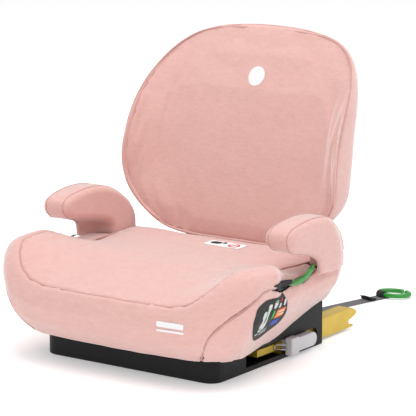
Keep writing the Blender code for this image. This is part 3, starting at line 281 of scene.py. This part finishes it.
green_plastic = plastic_material("green_plastic", (0.012, 0.235, 0.018), 0.32, coat=0.2)
black_webbing = plastic_material("black_webbing", (0.012, 0.012, 0.013), 0.8, 0.0004)
ring_low, ring_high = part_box("ring_hook")
RING_TUBE = (ring_high.z - ring_low.z) / 2
RING_LONG = 0.054
RING_WIDE = 0.038
RING_TURN = math.radians(8)
RING_GAP_AT = 62      # degrees, the middle of the ring's opening
RING_GAP = 16
RING_AHEAD = 0.0085   # from the strap's end to the ring's middle, along the strap
RING_ASIDE = 0.0083   # and across it
RING_STEPS = 96
end = Vector(STRAP_ROUTE[-1])
before = Vector(STRAP_ROUTE[-3])
ahead = Vector((end.x - before.x, end.y - before.y, 0)).normalized()
middle = end + ahead * RING_AHEAD + Vector((ahead.y, -ahead.x, 0)) * RING_ASIDE
points = []
for k in range(RING_STEPS + 1):
    angle = math.radians(RING_GAP_AT + RING_GAP / 2 + (360 - RING_GAP) * k / RING_STEPS)
    x = RING_LONG / 2 * math.cos(angle)
    y = RING_WIDE / 2 * math.sin(angle)
    points.append(Vector((middle.x + x * math.cos(RING_TURN) - y * math.sin(RING_TURN),
                          middle.y + x * math.sin(RING_TURN) + y * math.cos(RING_TURN),
                          (ring_low.z + ring_high.z) / 2)))
ring = tube_piece("green_ring", points, RING_TUBE, green_plastic, sides=7)
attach(ring, "seat")
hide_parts("ring_hook")
length_of(route)


# ---------------------------------------------------------------- seat pad
# The pad on top is foam under a stretched knit, crowned in the middle and sewn to the border all
# round. It runs up the two wings in front and dips beside the belt paths.
def fabric_material(name, low, high, thread=(0.55, 0.26, 0.23)):
    """A fine knit: small loops in rows, a soft mottle of lighter and darker yarn, and a little sheen."""
    paint = Paint(name, 0.86, Sheen_Weight=0.95, Sheen_Roughness=0.4, Specular_IOR_Level=0.25)
    loops = paint.node("ShaderNodeTexVoronoi", {"feature": "F1"},
                       {"Vector": paint.stretched((1.0, 1.0, 1.6)), "Scale": 640.0})
    yarn = paint.noise(260.0, 3.0, paint.stretched((0.35, 0.35, 1.0)))
    mottle = paint.noise(110.0, 3.0, paint.stretched((0.5, 0.5, 1.5)))
    cloud = paint.noise(6.0, 2.0)
    share = paint.spread(yarn * 0.5 + mottle * 0.3 + cloud * 0.2, 0.30, 0.70)
    plain = paint.blend(share, (*low, 1), (*high, 1))
    paint.set("Base Color", paint.blend(paint.spread(loops, 0.35, 0.75) * 0.16, plain, (*thread, 1)))
    paint.set("Roughness", 0.80 + yarn * 0.12)
    paint.bump(1.0 - loops + yarn * 0.5, 0.00045, 0.7)
    return paint.material


def apply_modifier(piece, kind, **settings):
    """Adds a modifier and applies it at once."""
    modifier = piece.modifiers.new(kind.lower(), kind)
    for key, value in settings.items():
        setattr(modifier, key, value)
    bpy.ops.object.select_all(action="DESELECT")
    piece.select_set(True)
    bpy.context.view_layer.objects.active = piece
    bpy.ops.object.modifier_apply(modifier=modifier.name)


FOLD = math.radians(52)   # an edge that turns by more than this stays an edge


def soft_start(name, nodes, material, crease=0.0, levels=0, shape=None):
    """A soft piece's first form: the plain solids of some nodes, moved by shape and subdivided."""
    build = bmesh.new()
    for node in nodes:
        part = bmesh.new()
        part.from_mesh(NODES[node].data)
        if shape:
            for vert in part.verts:
                vert.co = shape(node, vert.co)
        mesh = bpy.data.meshes.new(name)
        part.to_mesh(mesh)
        part.free()
        build.from_mesh(mesh)
        bpy.data.meshes.remove(mesh)
    bmesh.ops.remove_doubles(build, verts=build.verts, dist=1e-5)
    bmesh.ops.recalc_face_normals(build, faces=build.faces)
    bmesh.ops.join_triangles(build, faces=build.faces, angle_face_threshold=0.7, angle_shape_threshold=1.2)
    layer = build.edges.layers.float.new("crease_edge")
    for edge in build.edges:
        if len(edge.link_faces) == 2 and edge.calc_face_angle() > FOLD:
            edge[layer] = crease
    piece = mesh_piece(name, build, material, 180)
    if levels:
        apply_modifier(piece, "SUBSURF", levels=levels, render_levels=levels)
    return piece


def even_mesh(piece, voxel, smoothing):
    """Remeshes a piece in even squares and rounds it off."""
    apply_modifier(piece, "REMESH", mode="VOXEL", voxel_size=voxel, use_smooth_shade=True)
    apply_modifier(piece, "SMOOTH", factor=0.5, iterations=smoothing)
    piece.data.shade_smooth()


PUFF_PRESSURE = 4.0
PUFF_FRAMES = 20


def puff(piece, most, held):
    """Blows a piece up as cloth. No point moves further than most, and the held ones stay."""
    start = [vert.co.copy() for vert in piece.data.vertices]
    pins = piece.vertex_groups.new(name="held")
    pins.add([vert.index for vert in piece.data.vertices if held(vert)], 1.0, "REPLACE")
    cloth = piece.modifiers.new("cloth", "CLOTH")
    cloth.settings.use_pressure = True
    cloth.settings.uniform_pressure_force = PUFF_PRESSURE
    cloth.settings.effector_weights.gravity = 0.0
    cloth.settings.vertex_group_mass = "held"
    cloth.point_cache.frame_end = PUFF_FRAMES
    for number in range(1, PUFF_FRAMES + 1):
        bpy.context.scene.frame_set(number)
    bpy.ops.object.select_all(action="DESELECT")
    piece.select_set(True)
    bpy.context.view_layer.objects.active = piece
    bpy.ops.object.modifier_apply(modifier="cloth")
    bpy.context.scene.frame_set(1)
    for vert, old in zip(piece.data.vertices, start):
        move = vert.co - old
        if move.length > most:
            vert.co = old + move.normalized() * most
    piece.vertex_groups.clear()


def ripple(piece, amount, size, swell=0.0):
    """Small soft unevenness, as fabric over foam has, on top of an even swelling."""
    normals = [vert.normal.copy() for vert in piece.data.vertices]
    for vert, normal in zip(piece.data.vertices, normals):
        vert.co += normal * (swell + amount * noise.noise(vert.co / size))


def soft_piece(piece, body, nodes):
    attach(piece, body)
    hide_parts(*nodes)


ROSE_LOW = (0.655, 0.385, 0.345)
ROSE_HIGH = (0.735, 0.460, 0.422)
rose_knit = fabric_material("rose_knit", ROSE_LOW, ROSE_HIGH)

TUCK_FROM = 0.050     # where the pad's rear begins to rise
TUCK_LENGTH = 0.045
TUCK = 0.004
PAD_UNDERSIDE = 0.120


def tucked(node, point):
    """The pad's rear edge rises a little and runs in under the backrest."""
    share = max(0.0, min(1.0, (point.y - TUCK_FROM) / TUCK_LENGTH))
    if point.z < PAD_UNDERSIDE:
        share = 0.0
    return Vector((point.x, point.y + TUCK * share, point.z + TUCK * share))


PAD_VOXEL = 0.004
PAD_RISE = 0.003
pad = soft_start("seat_pad", ["seat_cushion"], rose_knit, shape=tucked)
even_mesh(pad, PAD_VOXEL, 4)
puff(pad, PAD_RISE, lambda vert: vert.normal.z < 0.5)
apply_modifier(pad, "SUBSURF", levels=1, render_levels=1)
ripple(pad, 0.0006, 0.035, 0.0004)
soft_piece(pad, "seat", ["seat_cushion"])

# ---------------------------------------------------------------- front border
# The bumper round the front and over the wings: thick foam under the same knit, sewn to the pad
# along the crest and to the side panels down each front corner.
BORDER_VOXEL = 0.0026
border = soft_start("front_border", ["front_cover"], rose_knit)
even_mesh(border, BORDER_VOXEL, 5)
ripple(border, 0.0006, 0.03, 0.0004)
soft_piece(border, "seat", ["front_cover"])


# ---------------------------------------------------------------- side panels with the armrests
# Each side is one panel of knit from the hem to the outside of the armrest, over foam, and the
# armrest's top, tip and inner face are a second strip, so that two seams run along each arm.
ARM_FOOT_TOP = 0.152
ARM_FOOT_SINK = 0.005


def sunk_foot(node, point):
    """The armrest's foot goes a little into the side cover, so that the two become one panel."""
    if node.startswith("armrest") and point.z < ARM_FOOT_TOP:
        return Vector((point.x, point.y, point.z - ARM_FOOT_SINK))
    return point


# Behind the front corner the lower edge is turned up a little, which leaves room for the grips.
PANEL_VOXEL = 0.0022
TURN_UP = 0.0024
TURN_UP_BEHIND = -0.14
TURN_UP_BELOW = 0.100
TURN_UP_OVER = 0.020
panels = {}
for name in ("left", "right"):
    nodes = [f"side_cover_{name}", f"armrest_{name}"]
    panel = soft_start(f"side_panel_{name}", nodes, rose_knit, shape=sunk_foot)
    even_mesh(panel, PANEL_VOXEL, 10)
    ripple(panel, 0.0006, 0.03, 0.0003)
    for vert in panel.data.vertices:
        if vert.co.y > TURN_UP_BEHIND:
            vert.co.z += TURN_UP * max(0.0, min(1.0, (TURN_UP_BELOW - vert.co.z) / TURN_UP_OVER))
    soft_piece(panel, "seat", nodes)
    panels[name] = panel

# ---------------------------------------------------------------- backrest pad
# One thick pad with raised bolsters at the sides, sewn to the gusset round its edge.
BACK_CENTRE = Vector((0.0, 0.0, 0.310))
BACK_WIDENING = 1.042
BACK_VOXEL = 0.0045
BACK_RISE = 0.004


def widened(node, point):
    """The pad is drawn out to the seam, so that its edge meets the gusset."""
    z = BACK_CENTRE.z + (point.z - BACK_CENTRE.z) * BACK_WIDENING
    return Vector((point.x * BACK_WIDENING, point.y, z))


back_pad = soft_start("back_pad", ["back_cushion"], rose_knit, shape=widened)
even_mesh(back_pad, BACK_VOXEL, 5)
puff(back_pad, BACK_RISE, lambda vert: vert.normal.y > -0.35)
apply_modifier(back_pad, "SUBSURF", levels=1, render_levels=1)
ripple(back_pad, 0.0007, 0.04)
soft_piece(back_pad, "backrest", ["back_cushion"])

# ---------------------------------------------------------------- backrest cover
# The gusset and the back are one sewn shell of the same knit, pulled over the pad from behind.
back_wrap = soft_start("back_wrap", ["back_cover"], rose_knit, crease=0.9, levels=2)
back_wrap.data.shade_smooth()
ripple(back_wrap, 0.0006, 0.035)
soft_piece(back_wrap, "backrest", ["back_cover"])


# ---------------------------------------------------------------- materials of the carried-over parts
# Base, shells and hinges are black polypropylene with a fine grain, the arms are yellow-passivated
# steel, the small ironware is bright zinc, and the release blocks are light grey plastic.
def metal_material(name, low, high, roughness, metallic):
    """Plated steel: slightly cloudy, and brushed along Y."""
    paint = Paint(name, roughness, metallic)
    cloud = paint.noise(38.0, 4.0)
    brushed = paint.noise(900.0, 2.0, paint.stretched((1.0, 0.08, 1.0)))
    paint.set("Base Color", paint.blend(paint.spread(cloud, 0.35, 0.65), (*low, 1), (*high, 1)))
    paint.set("Roughness", roughness - 0.05 + brushed * 0.14)
    paint.bump(brushed, 0.00004)
    return paint.material


FINISHES = {
    "black_plastic": plastic_material("black_plastic", (0.006, 0.006, 0.0065), 0.50, 0.00012, shine=0.22),
    "green_plastic": green_plastic,
    "grip_plastic": plastic_material("grey_plastic", (0.50, 0.50, 0.52), 0.38),
    "yellow_zinc": metal_material("yellow_zinc", (0.58, 0.40, 0.045), (0.64, 0.45, 0.060), 0.38, 0.35),
    "steel": metal_material("bright_zinc", (0.42, 0.43, 0.45), (0.60, 0.61, 0.63), 0.28, 1.0),
    "black_webbing": black_webbing,
    "cover_fabric": rose_knit,
    "webbing": grey_webbing,
}
for entry in frame["record"]["subparts"]:
    node = NODES[entry["node"]]
    node.data.materials.clear()
    node.data.materials.append(FINISHES[entry["material_slot"]])


# ---------------------------------------------------------------- seams
# Each seam is a thin cord of darker thread and turned-in fabric, lying in the groove where two
# pieces of knit meet.
TOO_NEAR = 0.02   # a point nearer to the centre has no clear direction


def ring_of(node, centre, axes, rank):
    """A node's points round a centre: for each degree, the point whose rank is lowest."""
    found = {}
    for vert in NODES[node].data.vertices:
        away = vert.co - centre
        flat = Vector((away[axes[0]], away[axes[1]]))
        if flat.length < TOO_NEAR:
            continue
        key = round(math.degrees(math.atan2(flat.y, flat.x)))
        if key not in found or rank(flat.length, vert.co) < found[key][0]:
            found[key] = (rank(flat.length, vert.co), vert.co.copy())
    points = [found[key][1] for key in sorted(found)]
    # The middle value of seven neighbours leaves out a stray one. The mean of three is smooth.
    count = len(points)
    calm = []
    for k in range(count):
        near = [points[(k + shift) % count] for shift in range(-3, 4)]
        calm.append(Vector([sorted(point[axis] for point in near)[3] for axis in range(3)]))
    return [(calm[k - 1] + calm[k] + calm[(k + 1) % count]) / 3 for k in range(count)]


def surface_of(*pieces):
    """The nearest points and the ray hits of some pieces, taken together."""
    trees = []
    for piece in pieces:
        build = bmesh.new()
        build.from_mesh(piece.data)
        trees.append(BVHTree.FromBMesh(build))
        build.free()

    def nearest(point):
        found = [tree.find_nearest(point) for tree in trees]
        return min(found, key=lambda hit: hit[3])

    def struck(start, way):
        found = [tree.ray_cast(start, way) for tree in trees]
        return min((hit for hit in found if hit[0] is not None), key=lambda hit: hit[3], default=None)

    return nearest, struck


def laid_on(points, surface):
    """Points pulled on to a surface."""
    return [surface[0](point)[0] for point in points]


def even_line(points, closed, passes):
    """A line with its small wavers taken out."""
    for _ in range(passes):
        count = len(points)
        last = count if closed else count - 1
        points = [points[k] if not closed and k in (0, last) else
                  (points[k - 1] + points[k] * 2 + points[(k + 1) % count]) / 4 for k in range(count)]
    return points


def between(point, first, second):
    """The middle of the gap between two pieces, near a point."""
    on_first = first[0](point)[0]
    on_second = second[0](on_first)[0]
    on_first = first[0](on_second)[0]
    return (on_first + on_second) / 2


rose_seam = fabric_material("rose_seam", (0.50, 0.255, 0.225), (0.60, 0.33, 0.30))


def seam(name, points, body, radius, closed=False):
    piece = tube_piece(name, points, radius, rose_seam, closed)
    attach(piece, body)


# The seam round the seat pad lies in the groove along the crest, in front of the armrests, and on
# the pad's edge behind. On the backrest the seam is the front edge of the gusset.
CREST_SEAM = 0.0017
BACK_SEAM = 0.0015
CREST_CENTRE_AHEAD = 0.150   # from the pad's rear edge to the middle that its edge is read round
GROOVE_REACH = 0.006         # where the gap between the pieces is further off, there is no groove
RING_POINTS = 400
pad_surface = surface_of(pad)
border_surface = surface_of(border)
pad_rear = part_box("seat_cushion")[1].y
crest = ring_of("seat_cushion", Vector((0, pad_rear - CREST_CENTRE_AHEAD, 0)), (0, 1),
                lambda reach, point: (-round(reach, 3), -point.z))
groove = []
for point in even_line(curve_through(crest, RING_POINTS, True), True, 8):
    sunk = between(point, pad_surface, border_surface)
    groove.append(sunk if (sunk - point).length < GROOVE_REACH and point.y < 0.0 else point)
seam("crest_seam", even_line(groove, True, 10), "seat", CREST_SEAM, True)
back_edge = ring_of("back_cover", BACK_CENTRE, (0, 2), lambda reach, point: (-round(reach, 3), point.y))
back_line = even_line(curve_through(back_edge, RING_POINTS, True), True, 8)
seam("back_seam", back_line, "backrest", BACK_SEAM, True)

# Down each front corner a seam joins the border to the side panel, from the hem up to the belt path.
CORNER_SEAM = [
    (0.163, -0.182, 0.053), (0.1795, -0.196, 0.0755), (0.2000, -0.192, 0.097), (0.215, -0.185, 0.1135),
    (0.227, -0.164, 0.138), (0.2325, -0.130, 0.1475), (0.2335, -0.100, 0.150),
]
CORNER_FOOT = [(0.1595, -0.1780, 0.0468), (0.1608, -0.1798, 0.0500)]
CORNER_POINTS = 70
CORNER_RADIUS = 0.0014
# Along each arm two seams edge the strip over its top, its tip and its underside.
ARM_SEAM_INSET = 0.0085
ARM_SEAM_FROM = 0.170
ARM_POINTS = 160
ARM_RADIUS = 0.0011


def contour(node, x):
    """Where the plane at x cuts a node, as one ordered line."""
    build = bmesh.new()
    build.from_mesh(NODES[node].data)
    bmesh.ops.remove_doubles(build, verts=build.verts, dist=1e-6)
    cut = bmesh.ops.bisect_plane(build, geom=build.verts[:] + build.edges[:] + build.faces[:],
                                 plane_co=(x, 0, 0), plane_no=(1, 0, 0))["geom_cut"]
    links = {}
    for edge in (item for item in cut if isinstance(item, bmesh.types.BMEdge)):
        first, second = (tuple(round(value, 6) for value in vert.co) for vert in edge.verts)
        links.setdefault(first, []).append(second)
        links.setdefault(second, []).append(first)
    build.free()
    line = [max(links, key=lambda point: point[2])]
    while True:
        ahead = [point for point in links[line[-1]] if point not in line]
        if not ahead:
            return [Vector(point) for point in line]
        line.append(ahead[0])


for name, side in (("left", 1), ("right", -1)):
    panel_surface = surface_of(panels[name])
    start = curve_through([(side * x, y, z) for x, y, z in CORNER_SEAM], CORNER_POINTS)
    line = [between(point, border_surface, panel_surface) for point in start]
    foot = [Vector((side * x, y, z)) for x, y, z in CORNER_FOOT]
    seam(f"corner_seam_{name}", foot + even_line(line, False, 6), "seat", CORNER_RADIUS)
    low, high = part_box(f"armrest_{name}")
    inner, outer = (low.x, high.x) if side > 0 else (high.x, low.x)
    for edge, x in (("inner", inner + side * ARM_SEAM_INSET), ("outer", outer - side * ARM_SEAM_INSET)):
        kept = [point for point in contour(f"armrest_{name}", x) if point.z > ARM_SEAM_FROM]
        turn = max(range(len(kept)), key=lambda k: (kept[k] - kept[k - 1]).length)
        kept = kept[turn:] + kept[:turn]
        line = laid_on(even_line(curve_through(kept, ARM_POINTS), False, 6), panel_surface)
        seam(f"arm_seam_{edge}_{name}", even_line(line, False, 4), "seat", ARM_RADIUS)


# ---------------------------------------------------------------- lips of the belt paths
# The moulded edge of each belt path shows on the outside of the panel: a green lip that the belt
# lies on, and a black wedge before it, both 3 mm thick and clipped over the fabric.
OUTLINES_AT = 0.25    # the plane, out from the middle, that outlines on the sides are given in
STAND_OFF = 0.1       # from an outline back to where it is thrown on to the surface from


def patch(build, surface, outline, way, lift, material_index, rings_inside=8, deepest=None):
    """A thin patch laid on a surface: its outline is thrown on to it along way, no further than deepest."""
    nearest, struck = surface

    def landed(point):
        start = point - way * STAND_OFF
        hit = struck(start, way)
        if hit is None and deepest is None:
            return nearest(point)[0] - way * lift
        reach = hit[3] if hit else deepest
        if deepest:
            reach = min(reach, deepest)
        return start + way * (reach - lift)

    middle = sum(outline, Vector()) / len(outline)
    rows = []
    for k in range(rings_inside):
        share = 1 - k / rings_inside
        rows.append([build.verts.new(landed(middle + (point - middle) * share)) for point in outline])
    centre = build.verts.new(landed(middle))
    count = len(outline)
    for k in range(rings_inside - 1):
        for j in range(count):
            after = (j + 1) % count
            face = build.faces.new((rows[k][j], rows[k][after], rows[k + 1][after], rows[k + 1][j]))
            face.material_index = material_index
    for j in range(count):
        face = build.faces.new((rows[-1][j], rows[-1][(j + 1) % count], centre))
        face.material_index = material_index


GREEN_LIP = [
    (-0.0534, 0.1434), (-0.0368, 0.1400), (-0.0235, 0.1393), (-0.0049, 0.1425), (0.0040, 0.1463),
    (0.0120, 0.1510), (0.0168, 0.1555), (0.0188, 0.1629), (0.0100, 0.1600), (0.0031, 0.1560),
    (-0.0060, 0.1518), (-0.0135, 0.1490), (-0.0250, 0.1470), (-0.0368, 0.1458), (-0.0450, 0.1450),
]
BLACK_WEDGE = [
    (-0.0980, 0.1508), (-0.0830, 0.1530), (-0.0700, 0.1538), (-0.0560, 0.1525), (-0.0450, 0.1500),
    (-0.0534, 0.1442), (-0.0700, 0.1448), (-0.0834, 0.1463),
]
LIPS = [
    ("green_lip", GREEN_LIP, "green_plastic", 0.122),
    ("black_wedge", BLACK_WEDGE, "black_plastic", 0.120),
]
LIP_POINTS = 60
LIP_LIFT = 0.0016
LIP_THICKNESS = 0.0030
RIGHT_LIP_TOP = 0.150   # the right-hand lips end level here
for name, side in (("left", 1), ("right", -1)):
    way = Vector((-side, 0, 0))
    both = surface_of(panels[name], border)
    for piece, outline, slot, deepest in LIPS:
        build = bmesh.new()
        if side < 0:
            outline = [(y, min(z, RIGHT_LIP_TOP)) for y, z in outline]
        line = curve_through([(side * OUTLINES_AT, y, z) for y, z in outline], LIP_POINTS, True)
        patch(build, both, line, way, LIP_LIFT, 0, 5, deepest)
        lip = mesh_piece(f"{piece}_{name}", build, FINISHES[slot], 60)
        apply_modifier(lip, "SOLIDIFY", thickness=LIP_THICKNESS, offset=-1.0)
        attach(lip, "seat")

# ---------------------------------------------------------------- hem
# A cord sewn into the lower edge of the border and the side panels. The edge is found by looking in
# from all round, at one level above another, for the first fabric that is far enough out.
HEM_RADIUS = 0.0015
HEM_RAISE = 0.0022
HEM_MIDDLE_Y = -0.03
HEM_LOOK_FROM = 0.5
HEM_LEAST_OUT = 0.150
HEM_LOWEST = 0.035
HEM_LEVELS = 120
HEM_STEP = 0.001
HEM_POINTS = 500
_, struck_cover = surface_of(border, panels["left"], panels["right"])
hem = []
for degree in range(-222, 43, 2):
    out = Vector((math.cos(math.radians(degree)), math.sin(math.radians(degree)), 0))
    for step in range(HEM_LEVELS):
        level = Vector((0, HEM_MIDDLE_Y, HEM_LOWEST + step * HEM_STEP))
        hit = struck_cover(level + out * HEM_LOOK_FROM, -out)
        if hit and (hit[0] - level).length > HEM_LEAST_OUT:
            hem.append(hit[0] + Vector((0, 0, HEM_RAISE)))
            break
hem_line = curve_through(even_line(hem, False, 3), HEM_POINTS)
seam("hem_cord", even_line(hem_line, False, 6), "seat", HEM_RADIUS)


# ---------------------------------------------------------------- labels
# Printed labels and a woven tag, heat-bonded or sewn to the knit, with plain bars and shapes on
# them in place of any wording.
def print_material(name, colour, roughness=0.5):
    """Matt ink or thread in one colour, a little uneven."""
    paint = Paint(name, roughness, Specular_IOR_Level=0.25)
    fine = paint.noise(900.0)
    darker = tuple(channel * 0.88 for channel in colour)
    paint.set("Base Color", paint.blend(fine, (*darker, 1), (*colour, 1)))
    paint.bump(fine, 0.00005)
    return paint.material


BLACK, GREY, GREEN, ORANGE, BLUE, RED, WHITE = range(7)
PRINTS = [
    print_material("print_black", (0.006, 0.006, 0.007)),
    print_material("print_grey", (0.62, 0.63, 0.64)),
    print_material("print_green", (0.03, 0.42, 0.05)),
    print_material("print_orange", (0.85, 0.20, 0.02)),
    print_material("print_blue", (0.03, 0.08, 0.45)),
    print_material("print_red", (0.65, 0.02, 0.02)),
    print_material("print_white", (0.85, 0.85, 0.85), 0.7),
]


def label(name, build, body):
    """Patches made into one piece, with a material for each colour."""
    bmesh.ops.recalc_face_normals(build, faces=build.faces)
    mesh = bpy.data.meshes.new(name)
    build.to_mesh(mesh)
    build.free()
    mesh.shade_smooth()
    for material in PRINTS:
        mesh.materials.append(material)
    piece = bpy.data.objects.new(name, mesh)
    bpy.context.scene.collection.objects.link(piece)
    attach(piece, body)


def rounded(centre, across, up, width, height, corner=0.5, steps=6):
    """The outline of a rectangle with round corners, as points in space. Corner 0.5 makes its ends round."""
    radius = corner * min(width, height)
    points = []
    for quarter, (sx, sy) in enumerate(((1, 1), (-1, 1), (-1, -1), (1, -1))):
        for k in range(steps + 1):
            angle = math.pi / 2 * (quarter + k / steps)
            point = (centre + across * (sx * (width / 2 - radius) + radius * math.cos(angle))
                     + up * (sy * (height / 2 - radius) + radius * math.sin(angle)))
            if all((point - other).length > 1e-5 for other in points):
                points.append(point)
    return points


# The instruction label on the left side panel: a black plate with little shapes in coloured boxes.
SIDE_LABEL = [
    (-0.0655, 0.134), (-0.053, 0.123), (-0.041, 0.107), (-0.030, 0.088), (-0.037, 0.076),
    (-0.056, 0.070), (-0.081, 0.0656), (-0.105, 0.066), (-0.118, 0.071), (-0.1295, 0.081),
    (-0.140, 0.098), (-0.140, 0.114), (-0.137, 0.125), (-0.1225, 0.1316), (-0.108, 0.133),
    (-0.0825, 0.131), (-0.071, 0.133),
]
# Each box: its middle (y, z), its width and height, its colour and its corner.
SIDE_BOXES = [
    (-0.112, 0.098, 0.012, 0.034, GREY, 0.5), (-0.101, 0.104, 0.012, 0.040, GREY, 0.4),
    (-0.106, 0.110, 0.0025, 0.020, GREEN, 0.4), (-0.116, 0.087, 0.010, 0.0025, GREEN, 0.4),
    (-0.083, 0.120, 0.011, 0.013, GREY, 0.4), (-0.083, 0.124, 0.008, 0.0025, GREEN, 0.4),
    (-0.082, 0.103, 0.008, 0.014, GREEN, 0.5), (-0.067, 0.124, 0.005, 0.005, RED, 0.5),
    (-0.068, 0.115, 0.006, 0.008, GREY, 0.3), (-0.055, 0.118, 0.006, 0.011, GREY, 0.5),
    (-0.058, 0.101, 0.026, 0.015, ORANGE, 0.1), (-0.056, 0.104, 0.018, 0.0018, WHITE, 0.3),
    (-0.056, 0.099, 0.018, 0.0018, WHITE, 0.3), (-0.058, 0.085, 0.024, 0.009, BLUE, 0.1),
    (-0.092, 0.080, 0.028, 0.0018, GREY, 0.3), (-0.092, 0.076, 0.028, 0.0018, GREY, 0.3),
    (-0.118, 0.079, 0.010, 0.0022, GREY, 0.3),
]
PLATE_POINTS = 90
PLATE_LIFT = 0.0006
BOX_LIFT = 0.0010
MARK_LIFT = 0.0013    # white and green marks lie over the boxes
FEW_RINGS = 4
right = Vector((1, 0, 0))
rear = Vector((0, 1, 0))
up = Vector((0, 0, 1))
panel_surface = surface_of(panels["left"])
build = bmesh.new()
plate = curve_through([(OUTLINES_AT, y, z) for y, z in SIDE_LABEL], PLATE_POINTS, True)
patch(build, panel_surface, plate, -right, PLATE_LIFT, BLACK)
for y, z, width, height, colour, corner in SIDE_BOXES:
    outline = rounded(Vector((OUTLINES_AT, y, z)), rear, up, width, height, corner)
    lift = MARK_LIFT if colour in (WHITE, GREEN) else BOX_LIFT
    patch(build, panel_surface, outline, -right, lift, colour, FEW_RINGS)
label("side_label", build, "seat")

# The small sewn label where the child sits: a dark shape and a barred red ring on white.
TAG_LIFT = 0.0005
PAN_LABEL = Vector((0.036, 0.060, 0.30))
PAN_RING = Vector((0.017, 0, 0))
# Each shape: its place on the label, its width and height, its lift and its colour.
PAN_SHAPES = [
    (Vector((-0.018, 0.002, 0)), 0.020, 0.013, 0.0008, BLACK),
    (Vector((-0.004, 0.006, 0)), 0.008, 0.008, 0.0008, BLACK),
    (PAN_RING, 0.020, 0.020, 0.0008, RED),
    (PAN_RING, 0.015, 0.015, 0.0010, WHITE),
]
build = bmesh.new()
patch(build, pad_surface, rounded(PAN_LABEL, right, rear, 0.068, 0.028, 0.12), -up, TAG_LIFT, WHITE)
for place, width, height, lift, colour in PAN_SHAPES:
    outline = rounded(PAN_LABEL + place, right, rear, width, height)
    patch(build, pad_surface, outline, -up, lift, colour, FEW_RINGS)
slant = (right + rear).normalized()
bar = rounded(PAN_LABEL + PAN_RING, slant, slant.cross(-up), 0.016, 0.0028, 0.2)
patch(build, pad_surface, bar, -up, 0.0012, RED, FEW_RINGS)
label("pan_label", build, "seat")

# A woven tag of two bands on the front border and a printed disc on the backrest, both plain.
# Each band: the height of its middle, its width up and down, and its corner.
TAG_BANDS = [(0.100, 0.0085, 0.25), (0.0905, 0.0035, 0.4)]
TAG_LENGTH = 0.047
EMBLEM = Vector((0.0, -0.2, 0.407))
EMBLEM_SIZE = 0.030
build = bmesh.new()
for z, height, corner in TAG_BANDS:
    outline = rounded(Vector((0.127, -0.25, z)), right, up, TAG_LENGTH, height, corner)
    patch(build, border_surface, outline, rear, TAG_LIFT, WHITE)
label("front_tag", build, "seat")
build = bmesh.new()
disc = rounded(EMBLEM, right, up, EMBLEM_SIZE, EMBLEM_SIZE)
patch(build, surface_of(back_pad), disc, rear, TAG_LIFT, WHITE)
label("back_emblem", build, "backrest")

# ---------------------------------------------------------------- studio
# A pale floor, an even pale surround and two broad lamps.
bpy.ops.object.select_all(action="DESELECT")
bpy.ops.mesh.primitive_plane_add(size=14.0, location=(0, 0, -0.0002))
floor = bpy.context.object
floor.name = "floor"
FLOOR_LOW = (0.86, 0.86, 0.87, 1)
FLOOR_HIGH = (0.88, 0.88, 0.88, 1)
FLOOR_GLOW = 0.28
WORLD_STRENGTH = 0.72
PURE_WHITE = (1.0, 1.0, 1.0, 1.0)
floor_paint = Paint("floor", 0.9)
floor_paint.set("Base Color", floor_paint.blend(floor_paint.noise(2.0), FLOOR_LOW, FLOOR_HIGH))
floor_paint.set("Emission Color", PURE_WHITE)
floor_paint.set("Emission Strength", FLOOR_GLOW)
floor.data.materials.append(floor_paint.material)
world = bpy.data.worlds.new("studio")
world.use_nodes = True
background = world.node_tree.nodes["Background"]
background.inputs["Color"].default_value = PURE_WHITE
background.inputs["Strength"].default_value = WORLD_STRENGTH
bpy.context.scene.world = world
bpy.context.scene.view_settings.view_transform = "Standard"


def lamp(name, place, target, size, power):
    """A square lamp that faces a target. Its power is in watts."""
    data = bpy.data.lights.new(name, "AREA")
    data.size = size
    data.energy = power
    item = bpy.data.objects.new(name, data)
    item.location = place
    item.rotation_euler = (Vector(target) - Vector(place)).to_track_quat("-Z", "Y").to_euler()
    bpy.context.scene.collection.objects.link(item)


lamp("top", place=(0.3, 0.3, 3.2), target=(0, 0, 0), size=3.0, power=74)
lamp("key", place=(1.2, -2.4, 2.2), target=(0, 0, 0.25), size=1.6, power=16)
